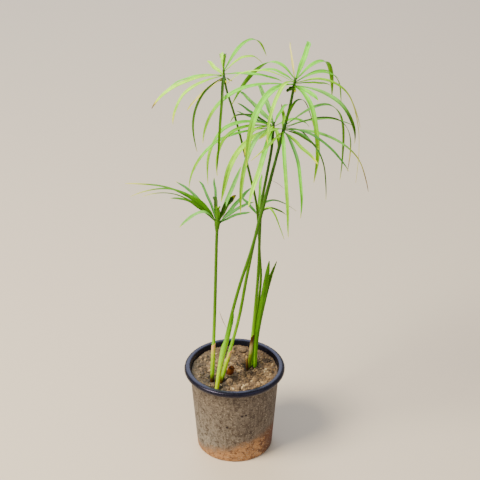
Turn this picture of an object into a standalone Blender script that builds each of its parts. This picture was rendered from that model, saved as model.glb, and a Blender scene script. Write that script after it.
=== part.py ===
"""Potted umbrella sedge: a young clump of six green stems in a black nursery pot.

Each stem carries a spray of long ribbon bracts at its top, like the ribs of an
umbrella. The pot stands on the XY plane with its middle at the origin, +Z is up
and -Y is the front. Blender works in metres; the sizes below are written in
millimetres and times MM.
"""
import math
from typing import NamedTuple

import bmesh
import bpy
from mathutils import Vector, noise

MM = 0.001

# Gap between two pieces that touch in the real plant
GAP = 0.3 * MM

# Pot, a 130 mm nursery pot in thin moulded plastic
POT_HEIGHT = 118 * MM
RIM_RADIUS = 65 * MM
RIM_DEPTH = 6.5 * MM
MOUTH_RADIUS = 56.8 * MM
SHOULDER_RADIUS = 57.6 * MM
BASE_RADIUS = 49 * MM
WALL = 1.7 * MM
FLOOR = 2.2 * MM
EDGE_ROUND = 1.4 * MM
DRAIN_RADIUS = 4.5 * MM
DRAIN_RING = 33 * MM
DRAIN_COUNT = 4
DRAIN_SIDES = 12
POT_STEPS = 40

# Soil, lumpy on top and level on average
SOIL_TOP = 107 * MM
SOIL_BOTTOM = FLOOR + 2 * GAP
SOIL_LUMP = 1.9 * MM
SOIL_LUMP_SPACING = 11 * MM
SOIL_RINGS = (7, 15, 23, 31, 39, 46)

# Heights in millimetres: the buried end of a culm, and of everything else in the soil
ROOT_Z = 92
FOOT_Z = 104

# Sockets that the soil leaves round each foot
SOCKET_TOP = 122 * MM
SOCKET_END = 1.5 * MM
SOCKET_SLACK = 0.4 * MM
SHOOT_SOCKET_RADIUS = 2.4 * MM

# Stems, round with a slight taper: sides, spacing of their rings, points of a fine line
STEM_SIDES = 8
STEM_STATION = 34 * MM
FINE_STATIONS = 60

# Places along a sheath at which it has a ring
SHEATH_SHARES = (0, 0.35, 0.75, 1)

# Bracts, thin blades folded along the midrib
BRACT_STATIONS = 12
BLADE_THICKNESS = 0.7 * MM
BLADE_FOLD = 0.26
BRACT_BASE_WIDTH = 1.9 * MM
BRACT_TIP_WIDTH = 0.5 * MM

# Spiral of bracts at the top of a culm: step from one to the next, and its full height
BRACT_PITCH = 1.25 * MM
UMBEL_HEIGHT = 9.5 * MM

# Blades of the young shoot
SHOOT_BASE_WIDTH = 3.2 * MM
SHOOT_TIP_WIDTH = 0.7 * MM


class Culm(NamedTuple):
    """One green stem, drawn through hand-placed points from the soil to its top.

    route is in millimetres, radii are at the soil and at the top.
    """

    name: str
    foot_radius: float
    top_radius: float
    route: tuple


class Sheath(NamedTuple):
    """A papery tube around the foot of a culm.

    low and high are heights, slack is the room it leaves round the culm and
    mouth how much wider its open top is, all in millimetres.
    """

    name: str
    culm: str
    low: float
    high: float
    slack: float
    mouth: float
    material: str


class Bract(NamedTuple):
    """One ribbon bract of an umbel.

    azimuth: degrees, 0 points to +X and 90 to +Y, where it leaves the culm.
    rise: degrees above level at its base.
    reach: how far the tip ends from the culm, in millimetres.
    drop: how far the tip hangs below the base, negative when it ends above.
    elbow: share of the reach at which the blade turns over.
    width: the widest part of the blade, in millimetres.
    swing: degrees that the tip turns aside of the azimuth.
    """

    name: str
    azimuth: float
    rise: float
    reach: float
    drop: float
    elbow: float
    width: float
    swing: float = 0.0


CULMS = (
    Culm("culm_short", 2.4, 1.9, (
        (-29.5, -17, ROOT_Z), (-27, -17, 152), (-24.5, -17, 215), (-22, -17, 300), (-20.5, -17, 341))),
    Culm("culm_front", 2.3, 1.8, (
        (-24, -34, ROOT_Z), (-18, -32, 140), (-5, -29.5, 207), (7, -26.5, 257), (21, -24, 305),
        (35, -20, 362), (47, -17.5, 414), (59.5, -15, 470))),
    Culm("culm_tall", 2.2, 1.7, (
        (-20, -19.5, ROOT_Z), (-12, -18, 128), (5, -14, 197), (16, -10.5, 262), (28, -6, 325),
        (42, -3, 385), (56, 0.5, 442), (66, 3, 486), (71.5, 5, 519))),
    Culm("culm_middle", 2.2, 1.7, (
        (18, 14, ROOT_Z), (21.8, 14.4, 140), (27, 13.5, 205), (30.3, 13, 258), (31.5, 13, 310),
        (33.5, 12.5, 350), (39, 12, 386), (45, 12, 425), (47, 12, 459))),
    Culm("culm_left", 1.9, 1.3, (
        (22, 20.5, ROOT_Z), (26, 20.5, 164), (31, 21, 205), (33.5, 22, 238), (32, 22.5, 268),
        (28, 23.5, 337), (20, 24, 378), (9, 24.5, 428), (-1, 25, 468), (-9, 25, 496), (-12.5, 25, 521))),
    Culm("culm_back", 1.9, 1.5, (
        (19, 26, ROOT_Z), (23.3, 28, 150), (28.7, 31, 220), (31.2, 34, 280), (30, 36, 321))),
)

SHEATHS = (
    Sheath("sheath_short", "culm_short", 108, 166, 0.1, 0.5, "pale_sheath"),
    Sheath("sheath_front", "culm_front", 108, 216, 1.2, 0.9, "green_sheath"),
    Sheath("sheath_tall", "culm_tall", 108, 153, 0.3, 0.5, "pale_sheath"),
    Sheath("sheath_middle", "culm_middle", 108, 156, 0.2, 0.5, "pale_sheath"),
)

# Umbels: the bracts of each culm, those of the widest or longest blades
UMBELS = {
    "culm_left": (
        Bract("bract_left_01", 52, 44, 78, 7, 0.67, 5.5, -2),
        Bract("bract_left_02", 95, 34, 60, 8, 0.55, 5.0),
        Bract("bract_left_03", 28, 42, 50, 0, 0.60, 3.5),
        Bract("bract_left_04", 355, 8, 66, 7, 0.60, 5.0),
        Bract("bract_left_05", 223, -8, 55, 26, 0.67, 4.2, -2),
        Bract("bract_left_06", 186, 2, 85, 36, 0.69, 5.2, 5),
        Bract("bract_left_07", 209, 2, 67, 47, 0.97, 4.5),
        Bract("bract_left_08", 232, -1, 60, 72, 1.28, 3.4, 7),
        Bract("bract_left_09", 268, 12, 60, 102, 1.00, 4.0, -6),
    ),
    "culm_tall": (
        Bract("bract_tall_01", 66, 37, 59, -25, 0.68, 6.8, 9),
        Bract("bract_tall_02", 99, 44, 47, -26, 0.71, 3.0, -3),
        Bract("bract_tall_03", 139, 47, 92, 62, 0.44, 6.0, 4),
        Bract("bract_tall_04", 35, 39, 60, 40, 0.90, 6.2, 7),
        Bract("bract_tall_05", 2, 23, 79, 65, 0.75, 5.0, 11),
        Bract("bract_tall_06", 334, 4, 75, 59, 1.01, 6.2, 1),
        Bract("bract_tall_07", 305, 0, 41, 108, 1.45, 6.2, -1),
        Bract("bract_tall_08", 218, 17, 72, 82, 0.84, 8.2, 3),
        Bract("bract_tall_09", 194, 13, 105, 67, 0.94, 6.0, -5),
        Bract("bract_tall_10", 241, 30, 65, 45, 0.68, 5.0),
        Bract("bract_tall_11", 347, 24, 76, 118, 1.15, 5.2, -6),
        Bract("bract_tall_12", 29, 25, 64, 43, 0.94, 3.4, 1),
    ),
    "culm_front": (
        Bract("bract_front_01", 27, 31, 75, 89, 1.29, 5.5, -1),
        Bract("bract_front_02", 14, 15, 83, 10, 0.64, 3.8, 3),
        Bract("bract_front_03", 348, 6, 100, 73, 0.91, 6.2, 2),
        Bract("bract_front_04", 322, 14, 86, 32, 0.67, 4.2, 5),
        Bract("bract_front_05", 289, 1, 54, 88, 1.21, 4.4, 2),
        Bract("bract_front_06", 271, -5, 62, 106, 0.72, 5.0, 5),
        Bract("bract_front_07", 51, 67, 64, 38, 0.41, 3.8, 4),
        Bract("bract_front_08", 320, 10, 62, 72, 1.05, 3.4),
    ),
    "culm_middle": (
        Bract("bract_middle_01", 110, 48, 56, -27, 0.50, 6.5),
        Bract("bract_middle_02", 129, 24, 62, -21, 0.50, 7.0),
        Bract("bract_middle_03", 188, 20, 77, 72, 1.05, 6.5, 3),
        Bract("bract_middle_04", 194, 3, 100, 69, 0.96, 4.8, -1),
        Bract("bract_middle_05", 198, 16, 67, 55, 1.10, 5.6, 1),
        Bract("bract_middle_06", 226, 6, 56, 92, 0.97, 5.8, 4),
        Bract("bract_middle_07", 214, 2, 72, 76, 0.83, 7.2),
        Bract("bract_middle_08", 249, -20, 66, 72, 0.47, 6.8, -5),
    ),
    "culm_short": (
        Bract("bract_short_01", 155, 52, 127, -22, 0.32, 6.0, -3),
        Bract("bract_short_02", 158, 54, 106, -21, 0.39, 5.5, 9),
        Bract("bract_short_03", 142, 52, 66, -34, 0.41, 4.8, -4),
        Bract("bract_short_04", 65, 40, 65, -48, 0.50, 5.4),
        Bract("bract_short_05", 40, 38, 53, -34, 0.50, 5.4),
    ),
    "culm_back": (
        Bract("bract_back_01", 32, 82, 50, 6, 0.10, 3.6, -8),
        Bract("bract_back_02", 331, 73, 34, 23, 0.38, 3.0, -1),
    ),
}

# Young shoot beside the middle culm: two blades still close together
SHOOT_BLADES = (
    ("shoot_blade_outer", (
        (25.5, 11, FOOT_Z), (27.5, 10.5, 140), (30.5, 10.5, 172), (35.3, 10.5, 205), (39.6, 10.5, 236),
        (43.5, 10, 268)), 5.6),
    ("shoot_blade_inner", (
        (27.5, 15, FOOT_Z), (29.2, 15, 145), (33.2, 15, 180), (39.3, 15, 215), (45.8, 15.5, 243),
        (53, 16, 264)), 4.6),
)

# Dead stubs of old stems: foot, top and radius in millimetres, a little thicker halfway
STUB_SWELL = 1.1
STUBS = (
    ("dry_sheath", (16.5, 9, FOOT_Z), (15.5, 8.5, 127), 1.3),
    ("dead_stub", (-6, -3, FOOT_Z), (-5, -5, 115), 3.7),
)

MATERIALS = {
    "pot": ((0.045, 0.047, 0.055), 0.45),
    "soil": ((0.26, 0.19, 0.13), 0.95),
    "culm": ((0.16, 0.36, 0.05), 0.5),
    "bract": ((0.25, 0.50, 0.12), 0.5),
    "young_shoot": ((0.30, 0.55, 0.10), 0.5),
    "green_sheath": ((0.52, 0.62, 0.16), 0.6),
    "pale_sheath": ((0.66, 0.54, 0.34), 0.7),
    "dry_sheath": ((0.36, 0.20, 0.09), 0.8),
}


def clear_scene():
    """Take every object out of the scene."""
    for old in list(bpy.data.objects):
        bpy.data.objects.remove(old, do_unlink=True)


def material(name):
    """Return the material of that name, made on first use."""
    made = bpy.data.materials.get(name)
    if made is None:
        colour, roughness = MATERIALS[name]
        made = bpy.data.materials.new(name)
        made.use_nodes = True
        shader = made.node_tree.nodes["Principled BSDF"]
        shader.inputs["Base Color"].default_value = (*colour, 1.0)
        shader.inputs["Roughness"].default_value = roughness
        shader.inputs["Metallic"].default_value = 0.0
    return made


def to_object(name, mesh_data, material_name, smooth_angle=40):
    """Turn a bmesh into a named object, faces out, round parts smooth."""
    bmesh.ops.recalc_face_normals(mesh_data, faces=mesh_data.faces)
    mesh = bpy.data.meshes.new(name)
    mesh_data.to_mesh(mesh)
    mesh_data.free()
    mesh.shade_smooth()
    mesh.set_sharp_from_angle(angle=math.radians(smooth_angle))
    mesh.materials.append(material(material_name))
    made = bpy.data.objects.new(name, mesh)
    bpy.context.scene.collection.objects.link(made)
    return made


def skin(rings, closed=False):
    """Join rings of points with faces; cap both ends, or join them if closed."""
    mesh_data = bmesh.new()
    loops = [[mesh_data.verts.new(point) for point in ring] for ring in rings]
    pairs = list(zip(loops, loops[1:]))
    if closed:
        pairs.append((loops[-1], loops[0]))
    for low, high in pairs:
        for here in range(len(low)):
            after = (here + 1) % len(low)
            mesh_data.faces.new((low[here], low[after], high[after], high[here]))
    if not closed:
        mesh_data.faces.new(loops[0])
        mesh_data.faces.new(loops[-1])
    return mesh_data


def turned(profile, steps):
    """Spin a closed outline of (radius, height) points round the Z axis."""
    mesh_data = bmesh.new()
    points = [mesh_data.verts.new((radius, 0.0, height)) for radius, height in profile]
    edges = [mesh_data.edges.new(pair) for pair in zip(points, points[1:])]
    bmesh.ops.spin(mesh_data, geom=points + edges, cent=(0, 0, 0), axis=(0, 0, 1),
                   angle=math.tau, steps=steps, use_merge=True)
    bmesh.ops.remove_doubles(mesh_data, verts=mesh_data.verts, dist=0.01 * MM)
    return mesh_data


def cut(target, cutter_data):
    """Cut a bmesh shape out of an object with a live boolean."""
    cutter = to_object(target.name + "_cutter", cutter_data, "soil")
    cutter.hide_render = True
    cutter.display_type = "WIRE"
    modifier = target.modifiers.new("cut", "BOOLEAN")
    modifier.operation = "DIFFERENCE"
    modifier.solver = "EXACT"
    modifier.object = cutter


def inner_radius(height):
    """Radius of the pot's inner wall at a height."""
    share = (height - FLOOR) / (POT_HEIGHT - RIM_DEPTH - FLOOR)
    return BASE_RADIUS - WALL + share * (SHOULDER_RADIUS - BASE_RADIUS)


def smooth_route(points, stations):
    """Return evenly shared points on a smooth curve through the given points."""
    ends = [points[0] * 2 - points[1], *points, points[-1] * 2 - points[-2]]
    fine = []
    for index in range(1, len(ends) - 2):
        before, start, finish, after = ends[index - 1:index + 3]
        for step in range(12):
            t = step / 12
            fine.append(0.5 * (2 * start + (finish - before) * t
                               + (2 * before - 5 * start + 4 * finish - after) * t ** 2
                               + (3 * start - before - 3 * finish + after) * t ** 3))
    fine.append(points[-1])
    lengths = [0.0]
    for first, second in zip(fine, fine[1:]):
        lengths.append(lengths[-1] + (second - first).length)
    result = []
    for index in range(stations):
        want = lengths[-1] * index / (stations - 1)
        at = next(i for i in range(1, len(fine)) if lengths[i] >= want - 1e-9)
        span = lengths[at] - lengths[at - 1]
        result.append(fine[at - 1].lerp(fine[at], (want - lengths[at - 1]) / span))
    return result


def directions(line):
    """Return the unit direction of a line at each of its points."""
    last = len(line) - 1
    return [(line[min(i + 1, last)] - line[max(i - 1, 0)]).normalized() for i in range(len(line))]


def tube_rings(line, radii, sides):
    """Return rings of points round a line that runs roughly upwards."""
    rings = []
    for centre, along, radius in zip(line, directions(line), radii):
        side = Vector((0, 1, 0)).cross(along).normalized()
        other = along.cross(side)
        rings.append([centre + radius * (math.cos(turn) * side + math.sin(turn) * other)
                      for turn in (math.tau * k / sides for k in range(sides))])
    return rings


def culm_line(culm, stations=None):
    """Return the centre line of a culm in metres."""
    points = [Vector(point) * MM for point in culm.route]
    if stations is None:
        stations = round((points[-1].z - points[0].z) / STEM_STATION) + 1
    return smooth_route(points, stations)


def culm_radius(culm, height):
    """Radius of a culm at a height."""
    low, high = culm.route[0][2] * MM, culm.route[-1][2] * MM
    share = (height - low) / (high - low)
    return MM * (culm.foot_radius + share * (culm.top_radius - culm.foot_radius))


def build_culm(culm):
    """One stem from its root in the soil to the top of its umbel."""
    line = culm_line(culm)
    radii = [culm_radius(culm, point.z) for point in line]
    return to_object(culm.name, skin(tube_rings(line, radii, STEM_SIDES)), "culm", 60)


def build_sheath(sheath, culm):
    """A thin open tube round the foot of a culm, wider at its mouth."""
    fine = culm_line(culm, FINE_STATIONS)
    heights = [sheath.low + (sheath.high - sheath.low) * share for share in SHEATH_SHARES]
    line = [min(fine, key=lambda point: abs(point.z - height * MM)) for height in heights]
    inside = [culm_radius(culm, point.z) + 2 * GAP + (sheath.slack + sheath.mouth * share ** 3) * MM
              for point, share in zip(line, SHEATH_SHARES)]
    outside = [radius + BLADE_THICKNESS for radius in inside]
    rings = tube_rings(line, outside, STEM_SIDES) + tube_rings(line, inside, STEM_SIDES)[::-1]
    return to_object(sheath.name, skin(rings, closed=True), sheath.material, 60)


def blade_width(share, widest, base, tip):
    """Width of a blade: narrow foot, full by a quarter, long taper to the tip."""
    opening = min(1.0, share / 0.24)
    opening = opening * opening * (3 - 2 * opening)
    full = base + (widest - base) * opening
    taper = max(0.0, (share - 0.3) / 0.7)
    return tip + (full - tip) * (1 - taper ** 1.9)


def blade_rings(line, sides, widths):
    """Return the folded four-cornered sections of a blade along a line."""
    rings = []
    for centre, along, side, width in zip(line, directions(line), sides, widths):
        up = along.cross(side).normalized()
        thin = up * (BLADE_THICKNESS / 2)
        lift = up * (BLADE_FOLD * width / 2)
        half = side * (width / 2)
        rings.append([centre - half + lift, centre - thin, centre + half + lift, centre + thin])
    return rings


def bract_line(bract, start, stations=BRACT_STATIONS):
    """Return the centre line of a bract from its base, and its sideways directions."""
    reach, drop = bract.reach * MM, bract.drop * MM
    turn_out = bract.elbow * reach
    turn_up = turn_out * math.tan(math.radians(bract.rise))
    line, sides = [], []
    for index in range(stations):
        t = index / (stations - 1)
        out = 2 * t * (1 - t) * turn_out + t * t * reach
        up = 2 * t * (1 - t) * turn_up - t * t * drop
        heading = math.radians(bract.azimuth + bract.swing * t * t)
        line.append(start + Vector((math.cos(heading) * out, math.sin(heading) * out, up)))
        sides.append(Vector((-math.sin(heading), math.cos(heading), 0)))
    return line, sides


def build_bract(bract, culm, depth):
    """One bract; depth is how far below the top of the culm it starts."""
    below, top = culm_line(culm, FINE_STATIONS)[-6], Vector(culm.route[-1]) * MM
    height = top.z - depth
    axis = below.lerp(top, (height - below.z) / (top.z - below.z))
    heading = math.radians(bract.azimuth)
    clear = culm_radius(culm, height) + GAP + BLADE_THICKNESS
    start = axis + Vector((math.cos(heading), math.sin(heading), 0)) * clear
    line, sides = bract_line(bract, start)
    count = len(line) - 1
    widths = [blade_width(i / count, bract.width * MM, BRACT_BASE_WIDTH, BRACT_TIP_WIDTH)
              for i in range(count + 1)]
    return to_object(bract.name, skin(blade_rings(line, sides, widths)), "bract", 60)


def build_umbel(culm, bracts):
    """All bracts of a culm, the steepest at the top of the spiral."""
    order = sorted(bracts, key=lambda bract: -bract.rise)
    pitch = min(BRACT_PITCH, UMBEL_HEIGHT / len(bracts))
    for place, bract in enumerate(order, 1):
        build_bract(bract, culm, pitch * place)


def build_shoot_blade(name, route, widest):
    """One blade of the young shoot, upright and folded, widest near its middle."""
    line = smooth_route([Vector(point) * MM for point in route], BRACT_STATIONS)
    count = len(line) - 1
    widths = [blade_width(i / count, widest * MM, SHOOT_BASE_WIDTH, SHOOT_TIP_WIDTH)
              for i in range(count + 1)]
    sides = [Vector((0, 1, 0)).cross(along).normalized() for along in directions(line)]
    return to_object(name, skin(blade_rings(line, sides, widths)), "young_shoot", 60)


def build_stub(name, foot, top, radius):
    """The dry remains of an old stem."""
    line = smooth_route([Vector(foot) * MM, Vector(top) * MM], 3)
    radii = [radius * MM, radius * STUB_SWELL * MM, radius * 0.8 * MM]
    return to_object(name, skin(tube_rings(line, radii, STEM_SIDES)), "dry_sheath", 60)


def build_pot():
    """The pot: tapered wall, broad rolled rim and a flat base with drain holes."""
    under_rim = POT_HEIGHT - RIM_DEPTH
    profile = (
        (0, 0), (BASE_RADIUS - EDGE_ROUND, 0), (BASE_RADIUS, EDGE_ROUND),
        (SHOULDER_RADIUS, under_rim - EDGE_ROUND), (SHOULDER_RADIUS + EDGE_ROUND, under_rim),
        (RIM_RADIUS - EDGE_ROUND / 2, under_rim), (RIM_RADIUS, under_rim + EDGE_ROUND),
        (RIM_RADIUS, POT_HEIGHT - EDGE_ROUND), (RIM_RADIUS - EDGE_ROUND, POT_HEIGHT),
        (MOUTH_RADIUS + EDGE_ROUND, POT_HEIGHT), (MOUTH_RADIUS, POT_HEIGHT - EDGE_ROUND),
        (inner_radius(under_rim), under_rim), (inner_radius(FLOOR), FLOOR), (0, FLOOR),
    )
    pot = to_object("pot", turned(profile, POT_STEPS), "pot", 35)
    for index in range(DRAIN_COUNT):
        turn = math.tau * (index + 0.5) / DRAIN_COUNT
        centre = Vector((DRAIN_RING * math.cos(turn), DRAIN_RING * math.sin(turn), 0))
        line = [centre + Vector((0, 0, height)) for height in (-FLOOR, 2 * FLOOR)]
        cut(pot, skin(tube_rings(line, [DRAIN_RADIUS] * 2, DRAIN_SIDES)))


def soil_height(x, y):
    """Height of the lumpy soil at a place."""
    spot = Vector((x, y, 0)) / SOIL_LUMP_SPACING
    return SOIL_TOP + SOIL_LUMP * (noise.noise(spot) + 0.5 * noise.noise(spot * 2.3))


def build_soil():
    """The soil that fills the pot, with a socket for each thing that grows in it."""
    mesh_data = bmesh.new()

    def ring(radius_at, height_at):
        """One ring of points, its radius and height worked out at each turn."""
        points = []
        for k in range(POT_STEPS):
            turn = math.tau * k / POT_STEPS
            radius = radius_at(turn)
            x, y = radius * math.cos(turn), radius * math.sin(turn)
            points.append(mesh_data.verts.new((x, y, height_at(x, y))))
        return points

    low_radius = inner_radius(SOIL_BOTTOM) - GAP * 1.4
    rim_radius = inner_radius(SOIL_TOP - SOIL_LUMP) - GAP * 1.4
    rings = [ring(lambda turn: low_radius, lambda x, y: SOIL_BOTTOM),
             ring(lambda turn: rim_radius, lambda x, y: SOIL_TOP - SOIL_LUMP)]
    for radius in reversed(SOIL_RINGS):
        rings.append(ring(lambda turn, radius=radius: radius * MM, soil_height))
    for low, high in zip(rings, rings[1:]):
        for here in range(POT_STEPS):
            after = (here + 1) % POT_STEPS
            mesh_data.faces.new((low[here], low[after], high[after], high[here]))
    mesh_data.faces.new(rings[0])
    centre = mesh_data.verts.new((0, 0, soil_height(0, 0)))
    for here in range(POT_STEPS):
        mesh_data.faces.new((rings[-1][here], rings[-1][(here + 1) % POT_STEPS], centre))
    return to_object("soil", mesh_data, "soil", 50)


def cut_culm_socket(soil, culm):
    """Open the soil along the foot of a culm, wider where it has a sheath."""
    line = [point for point in culm_line(culm, FINE_STATIONS) if point.z < SOCKET_TOP]
    line[0] = line[0] - Vector((0, 0, SOCKET_END))
    radii = [culm_radius(culm, point.z) + GAP for point in line]
    sheath = next((each for each in SHEATHS if each.culm == culm.name), None)
    if sheath is not None:
        extra = sheath.slack * MM + BLADE_THICKNESS + 2 * GAP + SOCKET_SLACK
        radii = [radius + (extra if point.z > FOOT_Z * MM else 0) for point, radius in zip(line, radii)]
    cut(soil, skin(tube_rings([line[0], *line[2::3], line[-1]],
                              [radii[0], *radii[2::3], radii[-1]], STEM_SIDES)))


def cut_sockets(soil):
    """Open the soil round the foot of each culm, blade and stub."""
    for culm in CULMS:
        cut_culm_socket(soil, culm)
    for name, route, widest in SHOOT_BLADES:
        foot = Vector(route[0]) * MM
        line = [foot - Vector((0, 0, SOCKET_END)), Vector((foot.x, foot.y, SOCKET_TOP))]
        cut(soil, skin(tube_rings(line, [SHOOT_SOCKET_RADIUS] * 2, STEM_SIDES)))
    for name, foot, top, radius in STUBS:
        foot, top = Vector(foot) * MM, Vector(top) * MM
        line = [foot.lerp(top, -0.1), top]
        cut(soil, skin(tube_rings(line, [radius * STUB_SWELL * MM + SOCKET_SLACK] * 2, STEM_SIDES)))


def main():
    """Build the pot, the soil and the plant."""
    clear_scene()
    build_pot()
    soil = build_soil()
    cut_sockets(soil)
    culms = {culm.name: culm for culm in CULMS}
    for culm in CULMS:
        build_culm(culm)
    for sheath in SHEATHS:
        build_sheath(sheath, culms[sheath.culm])
    for culm_name, bracts in UMBELS.items():
        build_umbel(culms[culm_name], bracts)
    for name, route, widest in SHOOT_BLADES:
        build_shoot_blade(name, route, widest)
    for name, foot, top, radius in STUBS:
        build_stub(name, foot, top, radius)


main()
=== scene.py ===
"""Looks of the potted umbrella sedge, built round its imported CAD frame.

The pot stands on the XY plane, +Z is up and -Y faces the camera. Blender works
in metres; sizes written in millimetres are times MM.
"""
import logging
import math
import random
from dataclasses import dataclass, field
from enum import Enum
from functools import partial
from typing import Callable, Sequence

import bmesh
import bpy
from bpy.types import ID, Material, Node, NodeSocket, NodeTree, Object
from mathutils import Matrix, Vector, noise


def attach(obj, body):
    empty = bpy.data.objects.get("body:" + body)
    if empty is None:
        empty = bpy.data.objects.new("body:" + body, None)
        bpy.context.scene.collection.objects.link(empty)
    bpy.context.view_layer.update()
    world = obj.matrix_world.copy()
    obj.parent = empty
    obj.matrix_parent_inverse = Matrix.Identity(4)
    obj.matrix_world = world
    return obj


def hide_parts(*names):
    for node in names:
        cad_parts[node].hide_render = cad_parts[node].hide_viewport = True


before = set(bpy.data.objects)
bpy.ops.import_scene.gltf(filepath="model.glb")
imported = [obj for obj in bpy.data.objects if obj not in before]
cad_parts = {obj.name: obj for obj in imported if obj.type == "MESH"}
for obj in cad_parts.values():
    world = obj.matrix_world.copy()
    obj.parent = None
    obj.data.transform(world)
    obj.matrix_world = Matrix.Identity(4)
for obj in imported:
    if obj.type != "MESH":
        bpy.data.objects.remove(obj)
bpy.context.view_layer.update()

log = logging.getLogger("sedge")

MM = 0.001
ROOT = "root"

# The CAD model's own values, which the visible pieces follow
GAP = 0.3 * MM
BLADE_THICKNESS = 0.7 * MM
BRACT_PITCH = 1.25 * MM
UMBEL_HEIGHT = 9.5 * MM
POT_HEIGHT = 118 * MM
RIM_RADIUS = 65 * MM
RIM_DEPTH = 6.5 * MM
MOUTH_RADIUS = 56.8 * MM
SHOULDER_RADIUS = 57.6 * MM
BASE_RADIUS = 49 * MM
WALL = 1.7 * MM
FLOOR = 2.2 * MM
SOIL_TOP = 107 * MM
SOIL_BOTTOM = FLOOR + 2 * GAP
SOIL_LUMP = 1.9 * MM
SOIL_LUMP_SPACING = 11 * MM
ROOT_Z = 92
FINE_STATIONS = 60

# Blades: the grid that each starts from, the thickness of a real leaf, how far its face
# waves and sways, how far its fold opens along it, and how much earlier its edges dry
BLADE_ROWS = 34
BLADE_COLUMNS = 6
LEAF_THICKNESS = 0.35 * MM
LEAF_EDGE_ANGLE = 16
TANGENT_STEP = 0.02
BLADE_WAVE = 1.3 * MM
BLADE_SWAY = 1.6 * MM
CLOSED_FOLD = 2.0
FOLD_OPENS = 0.95
EDGE_DRIES = 0.12

# Leaves turn their faces a little towards the open side, where the light comes from
SUNWARD = Vector((-0.15, -0.85, 0.5))
SUN_TURN = math.radians(24)
TWIST = math.radians(45)
FRESH_WIDTH = 0.9

# Light that passes through a thin green part comes out yellow-green
GREEN_GLOW = (0.6, 1.0, 0.15)
GREEN_GLOW_WEIGHT = 0.12

Triple = tuple[float, float, float]
Route = tuple[Triple, ...]
Feed = float | str | Sequence[float] | Node | NodeSocket
Adder = Callable[..., Node]


def linear(code: str) -> tuple[float, float, float, float]:
    """Turn an sRGB colour into the linear values that a shader takes.

    Args:
        code: six hex digits after a hash sign.

    Returns:
        Red, green, blue and an alpha of 1.
    """
    values = [int(code[start:start + 2], 16) / 255 for start in (1, 3, 5)]
    return (*[v / 12.92 if v <= 0.04045 else ((v + 0.055) / 1.055) ** 2.4 for v in values], 1.0)


def per(size_mm: float | Sequence[float]) -> float | list[float]:
    """Scale of a pattern on Object coordinates whose cells are size_mm millimetres."""
    return [1000.0 / size for size in size_mm] if isinstance(size_mm, tuple) else 1000.0 / size_mm


def smooth(low: float, high: float, value: float) -> float:
    """Ease from 0 at low to 1 at high."""
    share = min(1.0, max(0.0, (value - low) / (high - low)))
    return share * share * (3 - 2 * share)


def feed(socket: NodeSocket, value: Feed) -> None:
    """Set an input, or link it to where its value comes from.

    Args:
        socket: the input.
        value: a number, a vector, an sRGB code, an output, or a node, of which the
            first visible output is taken.
    """
    if isinstance(value, Node):
        value = next(output for output in value.outputs if output.enabled)
    if isinstance(value, NodeSocket):
        socket.id_data.links.new(value, socket)
    else:
        socket.default_value = linear(value) if isinstance(value, str) else value


def add_node(tree: NodeTree, kind: str, *inputs: Feed | None, stops: Sequence = (), **settings) -> Node:
    """Add one shader node with its settings and links.

    Args:
        tree: the node tree of the material.
        kind: Blender's name for the type of node, after "ShaderNode".
        inputs: what its visible inputs get, in their own order; None leaves one as it is.
        stops: the places and colours of a colour ramp.
        settings: values of the node's own properties.

    Returns:
        The new node.
    """
    node = tree.nodes.new("ShaderNode" + kind)
    for name, value in settings.items():
        setattr(node, name, value)
    for socket, value in zip([socket for socket in node.inputs if socket.enabled], inputs):
        if value is not None:
            feed(socket, value)
    for _ in stops[2:]:
        node.color_ramp.elements.new(0.5)
    for index, (place, code) in enumerate(stops):
        node.color_ramp.elements[index].position = place
        node.color_ramp.elements[index].color = linear(code)
    return node


@dataclass(frozen=True)
class Finish:
    """A surface finish: its name and how rough it is."""

    name: str
    roughness: float

    def material(self) -> Material:
        """Return the finish as a material, painted on first use."""
        made = bpy.data.materials.get(self.name)
        if made is None:
            made = bpy.data.materials.new(self.name)
            made.use_nodes = True
            shader = made.node_tree.nodes["Principled BSDF"]
            painted = self.paint(partial(add_node, made.node_tree))
            for name, value in {"Roughness": self.roughness, **painted}.items():
                feed(shader.inputs[name], value)
        return made

    def paint(self, add: Adder) -> dict[str, Feed]:
        """Draw the finish's own pattern.

        Args:
            add: adds a node to the material, as add_node does.

        Returns:
            What the shader's inputs get, by their names.
        """
        raise NotImplementedError


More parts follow.
